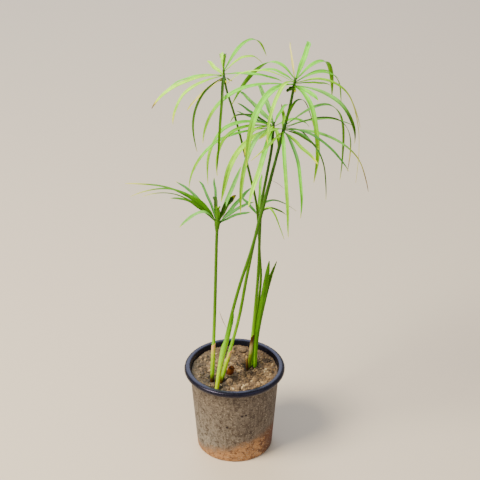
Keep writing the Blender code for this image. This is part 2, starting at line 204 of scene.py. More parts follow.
@dataclass(frozen=True)
class LeafSkin(Finish):
    """Living sedge leaf: waxy and smooth, with fine veins that run along it.

    The wax gives a soft broad sheen, and light that comes through the thin blade
    makes it glow yellow-green. Attributes of the mesh give each point's green, with
    painted light and shade in it, how dry it is, and which points lie on the underside,
    whose darker green is painted shade.
    """

    name: str = "sedge leaf"
    roughness: float = 0.48
    # The underside's darker green: painted shade.
    under: str = "#4a7c00"
    yellow: str = "#d8e020"
    tan: str = "#8c7a26"
    brown: str = "#4e3a12"
    mottle_mm: float = 9.0
    vein_count: float = 7.0

    def paint(self, add: Adder) -> dict[str, Feed]:
        """Vary the point's green along its veins, then lay the dry colours over it.

        Args:
            add: adds a node to the material.

        Returns:
            What the shader's inputs get, by their names.
        """
        place = add("TexCoord").outputs
        hue = add("Attribute", attribute_name="hue")
        dry = add("Attribute", attribute_name="dry").outputs["Fac"]
        under = add("Attribute", attribute_name="under").outputs["Fac"]
        mottle = add("TexNoise", place["Object"], per(self.mottle_mm), 3.0)
        along = add("Mapping", place["UV"], None, None, (3.0, self.vein_count, 1.0))
        veins = add("TexNoise", along, 1.0, 1.0)
        # Undersides are painted halfway to the darker green: painted shade.
        below = add("Math", under, 0.5, operation="MULTIPLY")
        under_shaded = add("Mix", below, hue, self.under, data_type="RGBA")
        shift = add("Math", mottle, 0.9, -0.12, operation="MULTIPLY_ADD")
        light = add("Math", veins, 1.4, shift, operation="MULTIPLY_ADD")
        varied = add("HueSaturation", None, None, light, None, under_shaded)
        uneven = add("Math", mottle, 0.5, -0.25, operation="MULTIPLY_ADD")
        dried = add("Math", uneven, dry, dry, operation="MULTIPLY_ADD")
        browns = add("ValToRGB", dried, stops=((0.25, self.yellow), (0.65, self.tan), (1.0, self.brown)))
        share = add("MapRange", dried, 0.0, 0.35)
        return {"Base Color": add("Mix", share, varied, browns, data_type="RGBA"),
                "Normal": add("Bump", 0.35, 0.15 * MM, None, veins),
                "Specular IOR Level": 0.13, "Subsurface Weight": GREEN_GLOW_WEIGHT,
                "Subsurface Radius": GREEN_GLOW, "Subsurface Scale": 1.2 * MM}


@dataclass(frozen=True)
class StreakedSkin(Finish):
    """Plant skin that goes through four colours from end to end, in fine streaks.

    The attribute "age" places each point between those colours. spread is how far a
    streak strays from its point's age; relief is the streaks' height.
    """

    colours: tuple[str, str, str, str]
    places: tuple[float, float, float, float]
    streak_mm: Triple
    detail: float
    spread: float
    relief: float
    relief_strength: float
    specular: float
    glow: Triple = GREEN_GLOW
    glow_weight: float = GREEN_GLOW_WEIGHT
    glow_depth: float = 1.0 * MM

    def paint(self, add: Adder) -> dict[str, Feed]:
        """Fade from the foot to the top, with streaks along the part.

        Args:
            add: adds a node to the material.

        Returns:
            What the shader's inputs get, by their names.
        """
        age = add("Attribute", attribute_name="age").outputs["Fac"]
        drawn = add("Mapping", add("TexCoord").outputs["Object"], None, None, per(self.streak_mm))
        streaks = add("TexNoise", drawn, 1.0, self.detail)
        shift = add("Math", streaks, self.spread, -self.spread / 2, operation="MULTIPLY_ADD")
        aged = add("Math", age, shift, operation="ADD")
        return {"Base Color": add("ValToRGB", aged, stops=tuple(zip(self.places, self.colours))),
                "Normal": add("Bump", self.relief_strength, self.relief, None, streaks),
                "Specular IOR Level": self.specular, "Subsurface Weight": self.glow_weight,
                "Subsurface Radius": self.glow, "Subsurface Scale": self.glow_depth}


@dataclass(frozen=True)
class StemSkin(StreakedSkin):
    """Sedge stem: smooth, finely ribbed and faintly waxy, pale where it leaves the soil.

    Its age runs from 0 at the soil to 1 at a dark top, whose dark green is painted shadow of the crown.
    """

    name: str = "sedge stem"
    roughness: float = 0.46
    colours: tuple[str, str, str, str] = ("#d0f408", "#84c400", "#447400", "#285210")
    places: tuple[float, float, float, float] = (0.0, 0.25, 0.55, 1.0)
    streak_mm: Triple = (0.9, 0.9, 26.0)
    detail: float = 2.0
    spread: float = 0.3
    relief: float = 0.2 * MM
    relief_strength: float = 0.3
    specular: float = 0.16


@dataclass(frozen=True)
class PaperySheath(StreakedSkin):
    """Papery leaf sheath: thin, fibrous and matte, browned and torn at its mouth.

    Its age runs from 0 at the foot to 1 at the mouth.
    """

    places: tuple[float, float, float, float] = (0.0, 0.45, 0.82, 1.0)
    streak_mm: Triple = (0.7, 0.7, 14.0)
    detail: float = 3.0
    spread: float = 0.36
    relief: float = 0.3 * MM
    relief_strength: float = 0.5
    specular: float = 0.14
    glow: Triple = (0.8, 1.0, 0.2)
    glow_weight: float = 0.08
    glow_depth: float = 0.8 * MM


@dataclass(frozen=True)
class MouldedPot(Finish):
    """Injection-moulded polypropylene, black, with dried splashes of soil on its body.

    The clean rim keeps the soft gloss of moulded plastic, its reflections tinted blue
    as a painted sky reflection; the body is matt with mottled dust and pale specks,
    paler low on the left, dark water runs that grow towards the right as painted shade,
    and an uneven band of mud at its foot, darker at the right edge as painted shade.
    """

    name: str = "dusty black polypropylene"
    roughness: float = 0.27
    plastic: str = "#0d0e18"
    dark_dust_and_shade: str = "#493f34"
    dust: str = "#71675a"
    ash: str = "#89847a"
    speck: str = "#b5aa94"
    pit: str = "#2a2522"
    mud: str = "#ae8256"
    wet_mud_and_shade: str = "#5c3a22"
    dot: str = "#17171a"
    # Tints the plastic's reflections blue: a painted sky reflection.
    sheen: str = "#c0bcec"
    cloud_mm: float = 17.0
    mottle_mm: float = 5.0
    speck_mm: float = 1.5
    run_mm: Triple = (2.6, 2.6, 22.0)
    dots_mm: Route = ((9.7, -54.2, 76.5), (-9.7, -52.6, 57.9), (14.7, -53.3, 77.4))
    dot_radius: float = 1.8 * MM

    def paint(self, add: Adder) -> dict[str, Feed]:
        """Lay dust, water runs, specks and mud over the plastic.

        Args:
            add: adds a node to the material.

        Returns:
            What the shader's inputs get, by their names.
        """
        place = add("TexCoord").outputs["Object"]
        x, y, z = add("SeparateXYZ", place).outputs
        clouds = add("TexNoise", place, per(self.cloud_mm), 6.0, 0.7)
        mottle = add("TexNoise", place, per(self.mottle_mm), 5.0, 0.75, None, 0.6)
        fine = add("TexNoise", place, per(self.speck_mm), 3.0, 0.7)
        runs = add("TexNoise", add("Mapping", place, None, None, per(self.run_mm)), 1.0, 4.0)

        # Mottled dust, paler and ash-grey low on the left, with painted shade on the right where the dark
        # runs grow
        leftness = add("MapRange", x, 0.02, -0.045)
        lowness = add("MapRange", z, 0.09, 0.02)
        ashy = add("Math", leftness, lowness, operation="MULTIPLY")
        tint = add("Mix", ashy, self.dust, self.ash, data_type="RGBA")
        shaded = add("MapRange", mottle, 0.53, 0.4)
        mottled = add("Mix", shaded, tint, self.dark_dust_and_shade, data_type="RGBA")
        # More dark runs towards the right side: painted shade over the real runs.
        right = add("MapRange", x, -0.03, 0.045, -0.07, 0.13)
        washed = add("Math", runs, right, operation="ADD")
        runs_and_right_shade = add("MapRange", washed, 0.5, 0.72, 0.0, 0.75)
        streaked = add("Mix", runs_and_right_shade, mottled, self.dark_dust_and_shade, data_type="RGBA")
        specks = add("MapRange", fine, 0.58, 0.68, 0.0, 0.9)
        speckled = add("Mix", specks, streaked, self.speck, data_type="RGBA")
        pits = add("MapRange", fine, 0.4, 0.3)
        pitted = add("Mix", pits, speckled, self.pit, data_type="RGBA")

        # Dust lies under the rim and outside only
        under_rim = add("MapRange", z, 0.1135, 0.1105)
        reach = add("VectorMath", add("CombineXYZ", x, y), operation="LENGTH")
        taper = (BASE_RADIUS - SHOULDER_RADIUS) / (POT_HEIGHT - RIM_DEPTH)
        skin = add("Math", z, taper, reach, operation="MULTIPLY_ADD")
        outer = add("MapRange", skin, BASE_RADIUS - 1.3 * MM, BASE_RADIUS - 0.5 * MM)
        cover = add("MapRange", clouds, 0.3, 0.5, 0.72, 0.97)
        lies = add("Math", under_rim, outer, operation="MULTIPLY")
        dusted = add("Math", lies, cover, operation="MULTIPLY")
        film = add("MapRange", mottle, 0.5, 0.75, 0.0, 0.08)
        coated = add("Math", dusted, film, operation="MAXIMUM")
        body = add("Mix", coated, self.plastic, pitted, data_type="RGBA")

        # Mud up to a wavy shore that climbs to the right
        shore = add("MapRange", x, -0.045, 0.052, 0.009, 0.040)
        wavy = add("Math", clouds, 0.03, -0.015, operation="MULTIPLY_ADD")
        ragged = add("Math", mottle, 0.018, -0.009, operation="MULTIPLY_ADD")
        level = add("Math", shore, wavy, operation="ADD")
        edge = add("Math", level, ragged, operation="ADD")
        above = add("Math", z, edge, operation="SUBTRACT")
        muddy = add("MapRange", above, 0.007, -0.005, 0.0, 0.92)
        # Darker, wetter-looking mud towards the right edge: painted shade.
        side = add("MapRange", x, 0.03, 0.05, 0.0, 0.25)
        wet_and_edge_shade = add("MapRange", add("Math", mottle, side, operation="ADD"), 0.47, 0.6)
        mud = add("Mix", wet_and_edge_shade, self.mud, self.wet_mud_and_shade, data_type="RGBA")
        gritty = add("Mix", specks, mud, self.speck, data_type="RGBA")
        colour = add("Mix", muddy, body, gritty, data_type="RGBA")
        for dot in self.dots_mm:
            gap = add("VectorMath", place, [value * MM for value in dot], operation="DISTANCE")
            hit = add("MapRange", gap, self.dot_radius, self.dot_radius * 0.6)
            colour = add("Mix", hit, colour, self.dot, data_type="RGBA")
        return {"Base Color": colour,
                "Roughness": add("MapRange", coated, 0.0, 0.7, self.roughness, 0.85),
                "Normal": add("Bump", add("MapRange", lies, None, None, 0.06, 0.6), 0.25 * MM, None, fine),
                "IOR": 1.49, "Specular IOR Level": 0.4, "Specular Tint": self.sheen}


@dataclass(frozen=True)
class PottingSoil(Finish):
    """Loam and sand, dry on top: crumbly and matt, its clods each a shade of their own.

    The attribute "shade" is 0 on dark crumbs and in the painted shade at the feet of the stems, and 1 on pale
    grit.
    """

    name: str = "dry loam"
    roughness: float = 0.95
    # The darkest crumbs, and the colour of the painted shade at the stems' feet.
    dark_and_foot_shade: str = "#1e1712"
    loam: str = "#6b5845"
    sandy: str = "#a2855e"
    grit: str = "#d2c09a"
    left_grey: str = "#7e766a"
    grain_mm: float = 1.6
    patch_mm: float = 9.0

    def paint(self, add: Adder) -> dict[str, Feed]:
        """Colour each crumb by its shade, with patches and grains over them.

        Args:
            add: adds a node to the material.

        Returns:
            What the shader's inputs get, by their names.
        """
        place = add("TexCoord").outputs["Object"]
        shade = add("Attribute", attribute_name="shade").outputs["Fac"]
        grains = add("TexNoise", place, per(self.grain_mm), 4.0, 0.7)
        patches = add("TexNoise", place, per(self.patch_mm), 2.0)
        grained = add("Math", grains, 1.0, -0.5, operation="MULTIPLY_ADD")
        patched = add("Math", patches, 0.8, -0.42, operation="MULTIPLY_ADD")
        both = add("Math", grained, patched, operation="ADD")
        shaded = add("Math", shade, both, operation="ADD")
        colour = add("ValToRGB", shaded, stops=(
            (0.05, self.dark_and_foot_shade), (0.4, self.loam), (0.7, self.sandy), (1.0, self.grit)))
        # Greyer towards the left.
        leftness = add("MapRange", add("SeparateXYZ", place), 0.015, -0.05, 0.0, 0.35)
        return {"Base Color": add("Mix", leftness, colour, self.left_grey, data_type="RGBA"),
                "Normal": add("Bump", 0.8, 0.5 * MM, None, grains)}


@dataclass(frozen=True)
class StudioPaper(Finish):
    """Plain pale background paper, matt with a faint tooth."""

    name: str = "pale studio paper"
    roughness: float = 0.9
    tint: str = "#d9cdbd"

    def paint(self, add: Adder) -> dict[str, Feed]:
        """Give the paper its tint."""
        return {"Base Color": self.tint}


LEAF = LeafSkin()
STEM = StemSkin()
GREEN_SHEATH = PaperySheath("green leaf sheath", 0.5, ("#c8e800", "#8ed000", "#5ca400", "#488c00"))
BROWNED_SHEATH = PaperySheath("browned leaf sheath", 0.6, ("#4c6410", "#7c9020", "#b4a468", "#4c3010"),
                              (0.0, 0.4, 0.62, 0.86))
PALE_SHEATH = PaperySheath("pale leaf sheath", 0.55, ("#40260e", "#8cc800", "#b0cc00", "#dca870"),
                           (0.12, 0.26, 0.74, 0.92))
DRY_SHEATH = PaperySheath("dry leaf sheath", 0.8, ("#2c1a0a", "#4a3010", "#8a6a34", "#c8ac78"))
RUSTY_STUB = PaperySheath("rusty stem stub", 0.8, ("#2e1808", "#683414", "#7e481a", "#2a1608"))
POT_PLASTIC = MouldedPot()
SOIL = PottingSoil()
PAPER = StudioPaper()


def let_go() -> None:
    """Leave edit mode and select nothing."""
    if bpy.context.object is not None and bpy.context.object.mode != "OBJECT":
        bpy.ops.object.mode_set(mode="OBJECT")
    bpy.ops.object.select_all(action="DESELECT")


def begin(name: str, add: Callable, **settings) -> Object:
    """Add a primitive and open it in edit mode.

    Args:
        name: the name of the new piece.
        add: the operator that adds the primitive.
        settings: the operator's own settings.

    Returns:
        The new object, all of it selected in edit mode.
    """
    let_go()
    add(**settings)
    piece = bpy.context.object
    piece.name = piece.data.name = name
    bpy.ops.object.mode_set(mode="EDIT")
    return piece


def put(name: str, data: ID) -> Object:
    """Put new data into the scene as an object at the origin."""
    piece = bpy.data.objects.new(name, data)
    bpy.context.scene.collection.objects.link(piece)
    return piece


def pick(piece: Object, test: Callable[[Vector], bool]) -> None:
    """Select in edit mode only the points that pass a test.

    Args:
        piece: the object in edit mode.
        test: takes a point and says whether to select it.
    """
    mesh = bmesh.from_edit_mesh(piece.data)
    mesh.select_mode = {"VERT"}
    for point in mesh.verts:
        point.select_set(test(point.co))
    mesh.select_flush_mode()
    bmesh.update_edit_mesh(piece.data)


def pick_all() -> None:
    """Select all of the piece that is in edit mode."""
    bpy.ops.mesh.select_all(action="SELECT")


def mend_normals() -> None:
    """Turn every face of the piece that is in edit mode outwards."""
    pick_all()
    bpy.ops.mesh.normals_make_consistent(inside=False)


def extrude(way: Sequence[float]) -> None:
    """Extrude what is selected by a vector."""
    bpy.ops.mesh.extrude_region_move(TRANSFORM_OT_translate={"value": way})


def modify(piece: Object, kind: str, **settings) -> None:
    """Give a piece a modifier and apply it.

    Args:
        piece: the object, which becomes the active one.
        kind: Blender's name for the modifier.
        settings: the modifier's own settings.
    """
    let_go()
    bpy.context.view_layer.objects.active = piece
    piece.select_set(True)
    modifier = piece.modifiers.new(kind, kind)
    for key, value in settings.items():
        setattr(modifier, key, value)
    bpy.ops.object.modifier_apply(modifier=modifier.name)


def store(piece: Object, name: str, values: Sequence[float], channel: str = "value") -> None:
    """Keep a value or a colour at each point of a piece for its material to read.

    Args:
        piece: the object.
        name: the attribute's name.
        values: the numbers, point after point.
        channel: "value" for one number a point, "color" for four.
    """
    layer = piece.data.attributes.new(name, "FLOAT_COLOR" if channel == "color" else "FLOAT", "POINT")
    layer.data.foreach_set(channel, values)


def paint_points(piece: Object, name: str, value: Callable[[Vector], float]) -> None:
    """Store at each point of a piece what value gives for the point."""
    store(piece, name, [value(point.co) for point in piece.data.vertices])


def finish_piece(piece: Object, finish: Finish, slot: str, nodes: Sequence[str] = (),
                 angle: float = 50) -> None:
    """Close edit mode, smooth and dress a piece, and set it in the frame.

    Args:
        piece: the object.
        finish: what it is made of.
        slot: the record's material slot that it belongs to; not used.
        nodes: the CAD nodes that it stands for.
        angle: edges sharper than this many degrees stay sharp.
    """
    let_go()
    bpy.context.view_layer.objects.active = piece
    piece.select_set(True)
    bpy.ops.object.shade_smooth_by_angle(angle=math.radians(angle))
    piece.data.materials.clear()
    piece.data.materials.append(finish.material())
    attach(piece, ROOT)
    if nodes:
        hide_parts(*nodes)
    log.info("%s: %d faces, %s", piece.name, len(piece.data.polygons), finish.name)


def shape_leaf(name: str, pattern: Object, slot: str, nodes: Sequence[str],
               bend: Callable[[float, float, float], tuple[Vector, Vector, float]]) -> None:
    """Copy the straight pattern blade, bend the copy and dress it as a leaf.

    Args:
        name: the name of the new piece.
        pattern: the straight blade, one long and one wide.
        slot: the record's material slot that it belongs to.
        nodes: the CAD nodes that it stands for.
        bend: takes a point's share of the length, its place across and its rise over
            the midrib, and gives its new place, its green and how dry it is.
    """
    leaf = put(name, pattern.data.copy())
    hues: list[float] = []
    dry: list[float] = []
    for vertex in leaf.data.vertices:
        vertex.co, hue, dryness = bend(*vertex.co)
        hues.extend(hue)
        dry.append(dryness)
    store(leaf, "hue", hues, "color")
    store(leaf, "dry", dry)
    modify(leaf, "SOLIDIFY", thickness=LEAF_THICKNESS, offset=0.0)
    # The copies that Solidify adds are the underside, painted darker as painted shade.
    store(leaf, "under", [0.0] * len(dry) + [1.0] * len(dry))
    finish_piece(leaf, LEAF, slot, nodes, LEAF_EDGE_ANGLE)


def smooth_route(points: Sequence[Sequence[float]], stations: int) -> list[Vector]:
    """Return evenly shared points on a smooth curve through the given points.

    Args:
        points: the points that the curve passes, in millimetres.
        stations: how many points to return.

    Returns:
        The points in metres, the first and the last of them being the given ends.
    """
    given = [Vector(point) * MM for point in points]
    ends = [given[0] * 2 - given[1], *given, given[-1] * 2 - given[-2]]
    fine: list[Vector] = []
    for index in range(1, len(ends) - 2):
        before, start, finish, after = ends[index - 1:index + 3]
        for step in range(12):
            t = step / 12
            fine.append(0.5 * (2 * start + (finish - before) * t
                               + (2 * before - 5 * start + 4 * finish - after) * t ** 2
                               + (3 * start - before - 3 * finish + after) * t ** 3))
    fine.append(given[-1])
    lengths = [0.0]
    for first, second in zip(fine, fine[1:]):
        lengths.append(lengths[-1] + (second - first).length)
    result = []
    for index in range(stations):
        want = lengths[-1] * index / (stations - 1)
        at = next(i for i in range(1, len(fine)) if lengths[i] >= want - 1e-9)
        span = lengths[at] - lengths[at - 1]
        result.append(fine[at - 1].lerp(fine[at], (want - lengths[at - 1]) / span))
    return result


def grow_tube(name: str, line: Sequence[Vector], radii: Sequence[float], sides: int,
              rib: float = 1.0, capped: bool = True) -> Object:
    """Extrude a ring upwards along a line.

    Args:
        name: the name of the new piece.
        line: the centres of the rings, from the foot up.
        radii: the radius of each ring.
        sides: the points of a ring.
        rib: size of every other point's radius, for a ribbed tube.
        capped: whether both ends are closed.

    Returns:
        The tube, in edit mode.
    """
    tube = begin(name, bpy.ops.mesh.primitive_circle_add, vertices=sides, radius=radii[0],
                 fill_type="NGON" if capped else "NOTHING")
    if rib != 1.0:
        half = math.pi / sides
        pick(tube, lambda point: round(math.atan2(point.y, point.x) / half / 2) % 2 == 0)
        bpy.ops.transform.resize(value=(rib, rib, 1))
        pick_all()
    bpy.ops.transform.translate(value=line[0])
    here, radius = line[0], radii[0]
    for point, wide in zip(line[1:], radii[1:]):
        extrude(point - here)
        ratio = wide / radius
        bpy.ops.transform.resize(value=(ratio, ratio, 1), center_override=point)
        here, radius = point, wide
    mend_normals()
    return tube


class Tone(Enum):
    """Greens of a blade, by their sRGB hex value."""

    # Most of these greens paint light along with the blade's own green: SHADE, DEEP and OLIVE are painted
    # shade, TEAL a painted sky sheen in shade, SAGE, MINT and PALE a painted sky sheen on lit faces, GLOW and
    # LIME a painted glow where light shines through; STRAW is a drying blade's own yellow.
    SHADE = "#1c3a00"
    DEEP = "#2a4e00"
    OLIVE = "#3e6c00"
    GRASS = "#468000"
    TEAL = "#468436"
    SAGE = "#74bc4c"
    FRESH = "#6cb808"
    MINT = "#74d424"
    PALE = "#a8f010"
    GLOW = "#90d800"
    LIME = "#78b400"
    STRAW = "#d8d470"

    def colour(self) -> Vector:
        """The tone as linear red, green, blue and alpha."""
        return Vector(linear(self.value))


class Tip(Enum):
    """Where a blade starts to dry, as a share of its length, and how dry its tip is."""

    GREEN = (0.97, 0.3)
    YELLOW = (0.78, 0.34)
    BROWN = (0.86, 1.0)
    DRYING = (0.55, 0.8)


@dataclass
class Culm:
    """One green stem; its route and radii are those of its CAD solid."""

    name: str
    foot_radius: float
    top_radius: float
    route: Route
    # A high age at the top darkens it as painted shadow of the crown; a raised age at the foot paints a foot
    # in shadow green instead of pale, as painted shade.
    crown_shadow_age: float = 0.6
    flare: float = 1.0
    foot_shade_age: float = 0.0
    grown_age: float = 0.55
    sides: int = 20
    rib: float = 0.94
    stations: int = 56

    def line(self, stations: int = FINE_STATIONS) -> list[Vector]:
        """Centre line from the root to the top."""
        return smooth_route(self.route, stations)

    def radius(self, height: float) -> float:
        """Radius at a height."""
        share = (height - self.route[0][2] * MM) / ((self.route[-1][2] - self.route[0][2]) * MM)
        return MM * (self.foot_radius + share * (self.top_radius - self.foot_radius))

    def axis(self, depth: float) -> Vector:
        """Point on the centre line that lies a depth below the top."""
        below, top = self.line()[-6], Vector(self.route[-1]) * MM
        return below.lerp(top, (top.z - depth - below.z) / (top.z - below.z))

    def build(self) -> None:
        """Extrude the stem, round off its top and dress it."""
        line = self.line(self.stations)
        low, high = SOIL_TOP, line[-1].z
        flares = [smooth(high - 15 * MM, high - 4 * MM, point.z) for point in line]
        radii = [self.radius(point.z) * (1 + (self.flare - 1) * flare) for point, flare in zip(line, flares)]
        line.append(line[-1] + Vector((0, 0, radii[-1] * 0.5)))
        radii.append(radii[-1] * 0.6)
        stem = grow_tube(self.name.replace("culm", "stem"), line, radii, self.sides, self.rib)
        let_go()
        # Age rises towards the dark top under the crown: painted shadow.
        grown, crown_shadow_age = self.grown_age - self.foot_shade_age, self.crown_shadow_age - self.grown_age
        paint_points(stem, "age", lambda point: (
            self.foot_shade_age + grown * smooth(low - 10 * MM, low + 130 * MM, point.z) ** 0.7
            + crown_shadow_age * smooth(low + 100 * MM, high, point.z)))
        finish_piece(stem, STEM, "culm", [self.name])


@dataclass
class Blade:
    """One ribbon bract; angles, reach, drop, elbow and width are its CAD solid's.

    swing turns the tip aside, roll turns the blade over towards its tip, both in
    degrees, and a blade with no roll strays a little by itself; slim is the share of
    its width that it loses early on. Its green is tone where it lies and fall where
    it hangs. Both are painted light as well as its own green: painted shade, a painted
    sky sheen on lit faces and a painted glow where light shines through. Its foot is
    painted darker near the stem, as painted shade. A blade with no node of its own is
    one of the small ones.
    """

    azimuth: float
    rise: float
    reach: float
    drop: float
    elbow: float
    width: float
    swing: float = 0.0
    tone: Tone = Tone.FRESH
    fall: Tone = Tone.LIME
    tip: Tip = Tip.GREEN
    roll: float = 0.0
    slim: float = 0.0
    node: str = ""

    def out(self) -> Vector:
        """Level direction in which the blade leaves its stem."""
        return Vector((math.cos(math.radians(self.azimuth)), math.sin(math.radians(self.azimuth)), 0))

    def point(self, t: float) -> Vector:
        """Place on the centre line.

        Args:
            t: share of the way from the base to the tip.

        Returns:
            The place, measured from the base.
        """
        turn_out = self.elbow * self.reach
        turn_up = turn_out * math.tan(math.radians(self.rise))
        out = 2 * t * (1 - t) * turn_out + t * t * self.reach
        up = 2 * t * (1 - t) * turn_up - t * t * self.drop
        heading = math.radians(self.azimuth + self.swing * t * t)
        return Vector((math.cos(heading) * out, math.sin(heading) * out, up)) * MM

    def build(self, name: str, pattern: Object, start: Vector, seed: int, bury: float) -> None:
        """Bend a copy of the straight pattern blade along the centre line.

        Args:
            name: the name of the new piece.
            pattern: the straight blade, one long and one wide.
            start: where the CAD solid starts.
            seed: picks the blade's own small waves.
            bury: how far its foot reaches back into the stem.
        """
        shade, lying_lit_green, hanging_lit_green = Tone.SHADE.colour(), self.tone.colour(), self.fall.colour()
        dries_at, dryness = self.tip.value

        def bend(t: float, across: float, fold: float) -> tuple[Vector, Vector, float]:
            """Move a point of the pattern to its place on the blade.

            Args:
                t: share of the way to the tip.
                across: place across the blade, from -0.5 to 0.5.
                fold: rise over the midrib.

            Returns:
                The place, the green and the dryness.
            """
            ahead, behind = min(1.0, t + TANGENT_STEP), max(0.0, t - TANGENT_STEP)
            along = (self.point(ahead) - self.point(behind)).normalized()
            heading = math.radians(self.azimuth + self.swing * t * t)
            side = Vector((-math.sin(heading), math.cos(heading), 0))
            up = along.cross(side).normalized()
            off = math.atan2(SUNWARD.dot(side), SUNWARD.dot(up))
            stray = noise.noise(Vector((seed * 5.7, 3.0, t * 2.5))) * TWIST * smooth(0.2, 0.8, t)
            roll = math.radians(self.roll) * t * t if self.roll else stray
            roll -= SUN_TURN * math.sin(2 * off) * smooth(0.0, 0.5, t)
            turn = Matrix.Rotation(roll, 3, along)
            side, up = turn @ side, turn @ up
            wave = noise.noise(Vector((seed * 7.3, t * 4.0, 0.0))) * smooth(0.05, 0.4, t)
            sway = noise.noise(Vector((seed * 3.1, 9.0, t * 3.0))) * smooth(0.1, 0.6, t)
            centre = start + self.point(t) + up * (wave * BLADE_WAVE) + side * (sway * BLADE_SWAY)
            centre -= self.out() * (bury * (1 - smooth(0.0, 0.05, t)))
            closed = CLOSED_FOLD - FOLD_OPENS * smooth(0.0, 0.35, t)
            wide = self.width * FRESH_WIDTH * (1 - self.slim * smooth(0.15, 0.6, t)) * MM
            # The green turns from the lying one to the hanging one where the blade points down: painted light
            # that follows its slope.
            green = lying_lit_green.lerp(hanging_lit_green, smooth(0.55, 0.95, -along.z + 0.3 * wave) * smooth(0.3, 0.7, t))
            edge = EDGE_DRIES * abs(across) / 0.5
            # Its foot is painted darker towards SHADE near the stem: painted shade.
            return (centre + side * (across * wide) + up * (fold * closed * wide),
                    shade.lerp(green, 0.5 + 0.5 * smooth(0.0, 0.22, t)),
                    dryness * smooth(dries_at - edge, 1.0, t))

        shape_leaf(name, pattern, "bract", [self.node] if self.node else (), bend)


@dataclass
class BladeShape:
    """Outline of a straight blade, one long and one wide, that many bent blades start from.

    grown is where it reaches its full width and narrows where it starts to
    taper, both as shares of its length.
    """

    name: str
    foot: float
    grown: float
    narrows: float
    power: float
    tip: float = 0.1
    fold: float = 0.24

    def build(self) -> Object:
        """Model the sheet, row by row, with a fold along its midrib.

        Returns:
            The sheet, a pattern that has no finish.
        """
        sheet = begin(self.name, bpy.ops.mesh.primitive_grid_add, x_subdivisions=BLADE_ROWS,
                      y_subdivisions=BLADE_COLUMNS, size=1)
        bpy.ops.transform.translate(value=(0.5, 0, 0))
        for row in range(BLADE_ROWS + 1):
            share = row / BLADE_ROWS
            full = self.foot + (1 - self.foot) * smooth(0, self.grown, share)
            taper = max(0.0, (share - self.narrows) / (1 - self.narrows)) ** self.power
            wide = self.tip + (full - self.tip) * (1 - taper)
            pick(sheet, lambda point: abs(point.x - share) < 0.4 / BLADE_ROWS)
            bpy.ops.transform.resize(value=(1, wide, 1), center_override=(share, 0, 0))
        let_go()
        for point in sheet.data.vertices:
            point.co.z = self.fold * abs(point.co.y) ** 0.9
        return sheet


@dataclass
class Umbel:
    """The spray of bracts at the top of a culm."""

    name: str
    culm: Culm
    blades: tuple[Blade, ...]
    small: tuple[Blade, ...]

    def build(self, pattern: Object) -> None:
        """Bend every bract, the steepest at the top of the spiral.

        Args:
            pattern: the straight blade that they are copies of.
        """
        for number, blade in enumerate(self.blades, 1):
            blade.node = f"bract_{self.name}_{number:02d}"
        order = sorted(self.blades, key=lambda blade: -blade.rise)
        pitch = min(BRACT_PITCH, UMBEL_HEIGHT / len(self.blades))
        depths = {blade.node: pitch * place for place, blade in enumerate(order, 1)}
        for number, blade in enumerate((*self.blades, *self.small), 1):
            depth = depths.get(blade.node, pitch * (0.5 + len(order) * (1 - smooth(-20, 70, blade.rise))))
            axis = self.culm.axis(depth)
            clear = self.culm.radius(axis.z) + GAP + BLADE_THICKNESS
            blade.build(f"leaf_{self.name}_{number:02d}", pattern, axis + blade.out() * clear,
                        number + 20 * len(self.name), clear * 0.75)


@dataclass
class Sheath:
    """A papery tube round the foot of a culm, slanted and torn at its mouth."""

    node: str
    culm: Culm
    high: float
    slack: float
    mouth: float
    finish: Finish
    slot: str = "pale_sheath"
    slant: float = 5.0
    sides: int = 20
    rings: int = 14
    low: float = 108.0
    sunk: float = 3.0

    def build(self) -> None:
        """Extrude the tube, slant its mouth and give it a thickness."""
        fine = self.culm.line(200)
        line, radii = [], []
        for ring in range(self.rings):
            share = ring / (self.rings - 1)
            height = (self.low - self.sunk + (self.high - self.low + self.sunk) * share) * MM
            line.append(min(fine, key=lambda point: abs(point.z - height)))
            belly = (0.1 + 0.9 * smooth(0.1, 0.7, share)) * (1 - smooth(0.72, 1.0, share))
            radii.append(self.culm.radius(height) + (0.2 + self.slack * belly + self.mouth * share ** 6) * MM)
        tube = grow_tube(self.node.replace("sheath", "wrap"), line, radii, self.sides, capped=False)
        let_go()
        top, foot = line[-1].z, line[0].z
        ages = [(point.co.z - foot) / (top - foot) for point in tube.data.vertices]
        store(tube, "age", ages)
        for vertex, age in zip(tube.data.vertices, ages):
            toward = vertex.co - line[min(self.rings - 1, round(age * (self.rings - 1)))]
            turn = math.atan2(toward.y, toward.x)
            torn = noise.noise(Vector((turn * 2.0, self.high * 0.1, 0.0))) * 0.35
            vertex.co.z -= self.slant * MM * smooth(0.5, 1.0, age) * (0.5 + 0.5 * math.cos(turn - 2.4) + torn)
        modify(tube, "SOLIDIFY", thickness=0.3 * MM, offset=-1.0)
        finish_piece(tube, self.finish, self.slot, [self.node], 60)


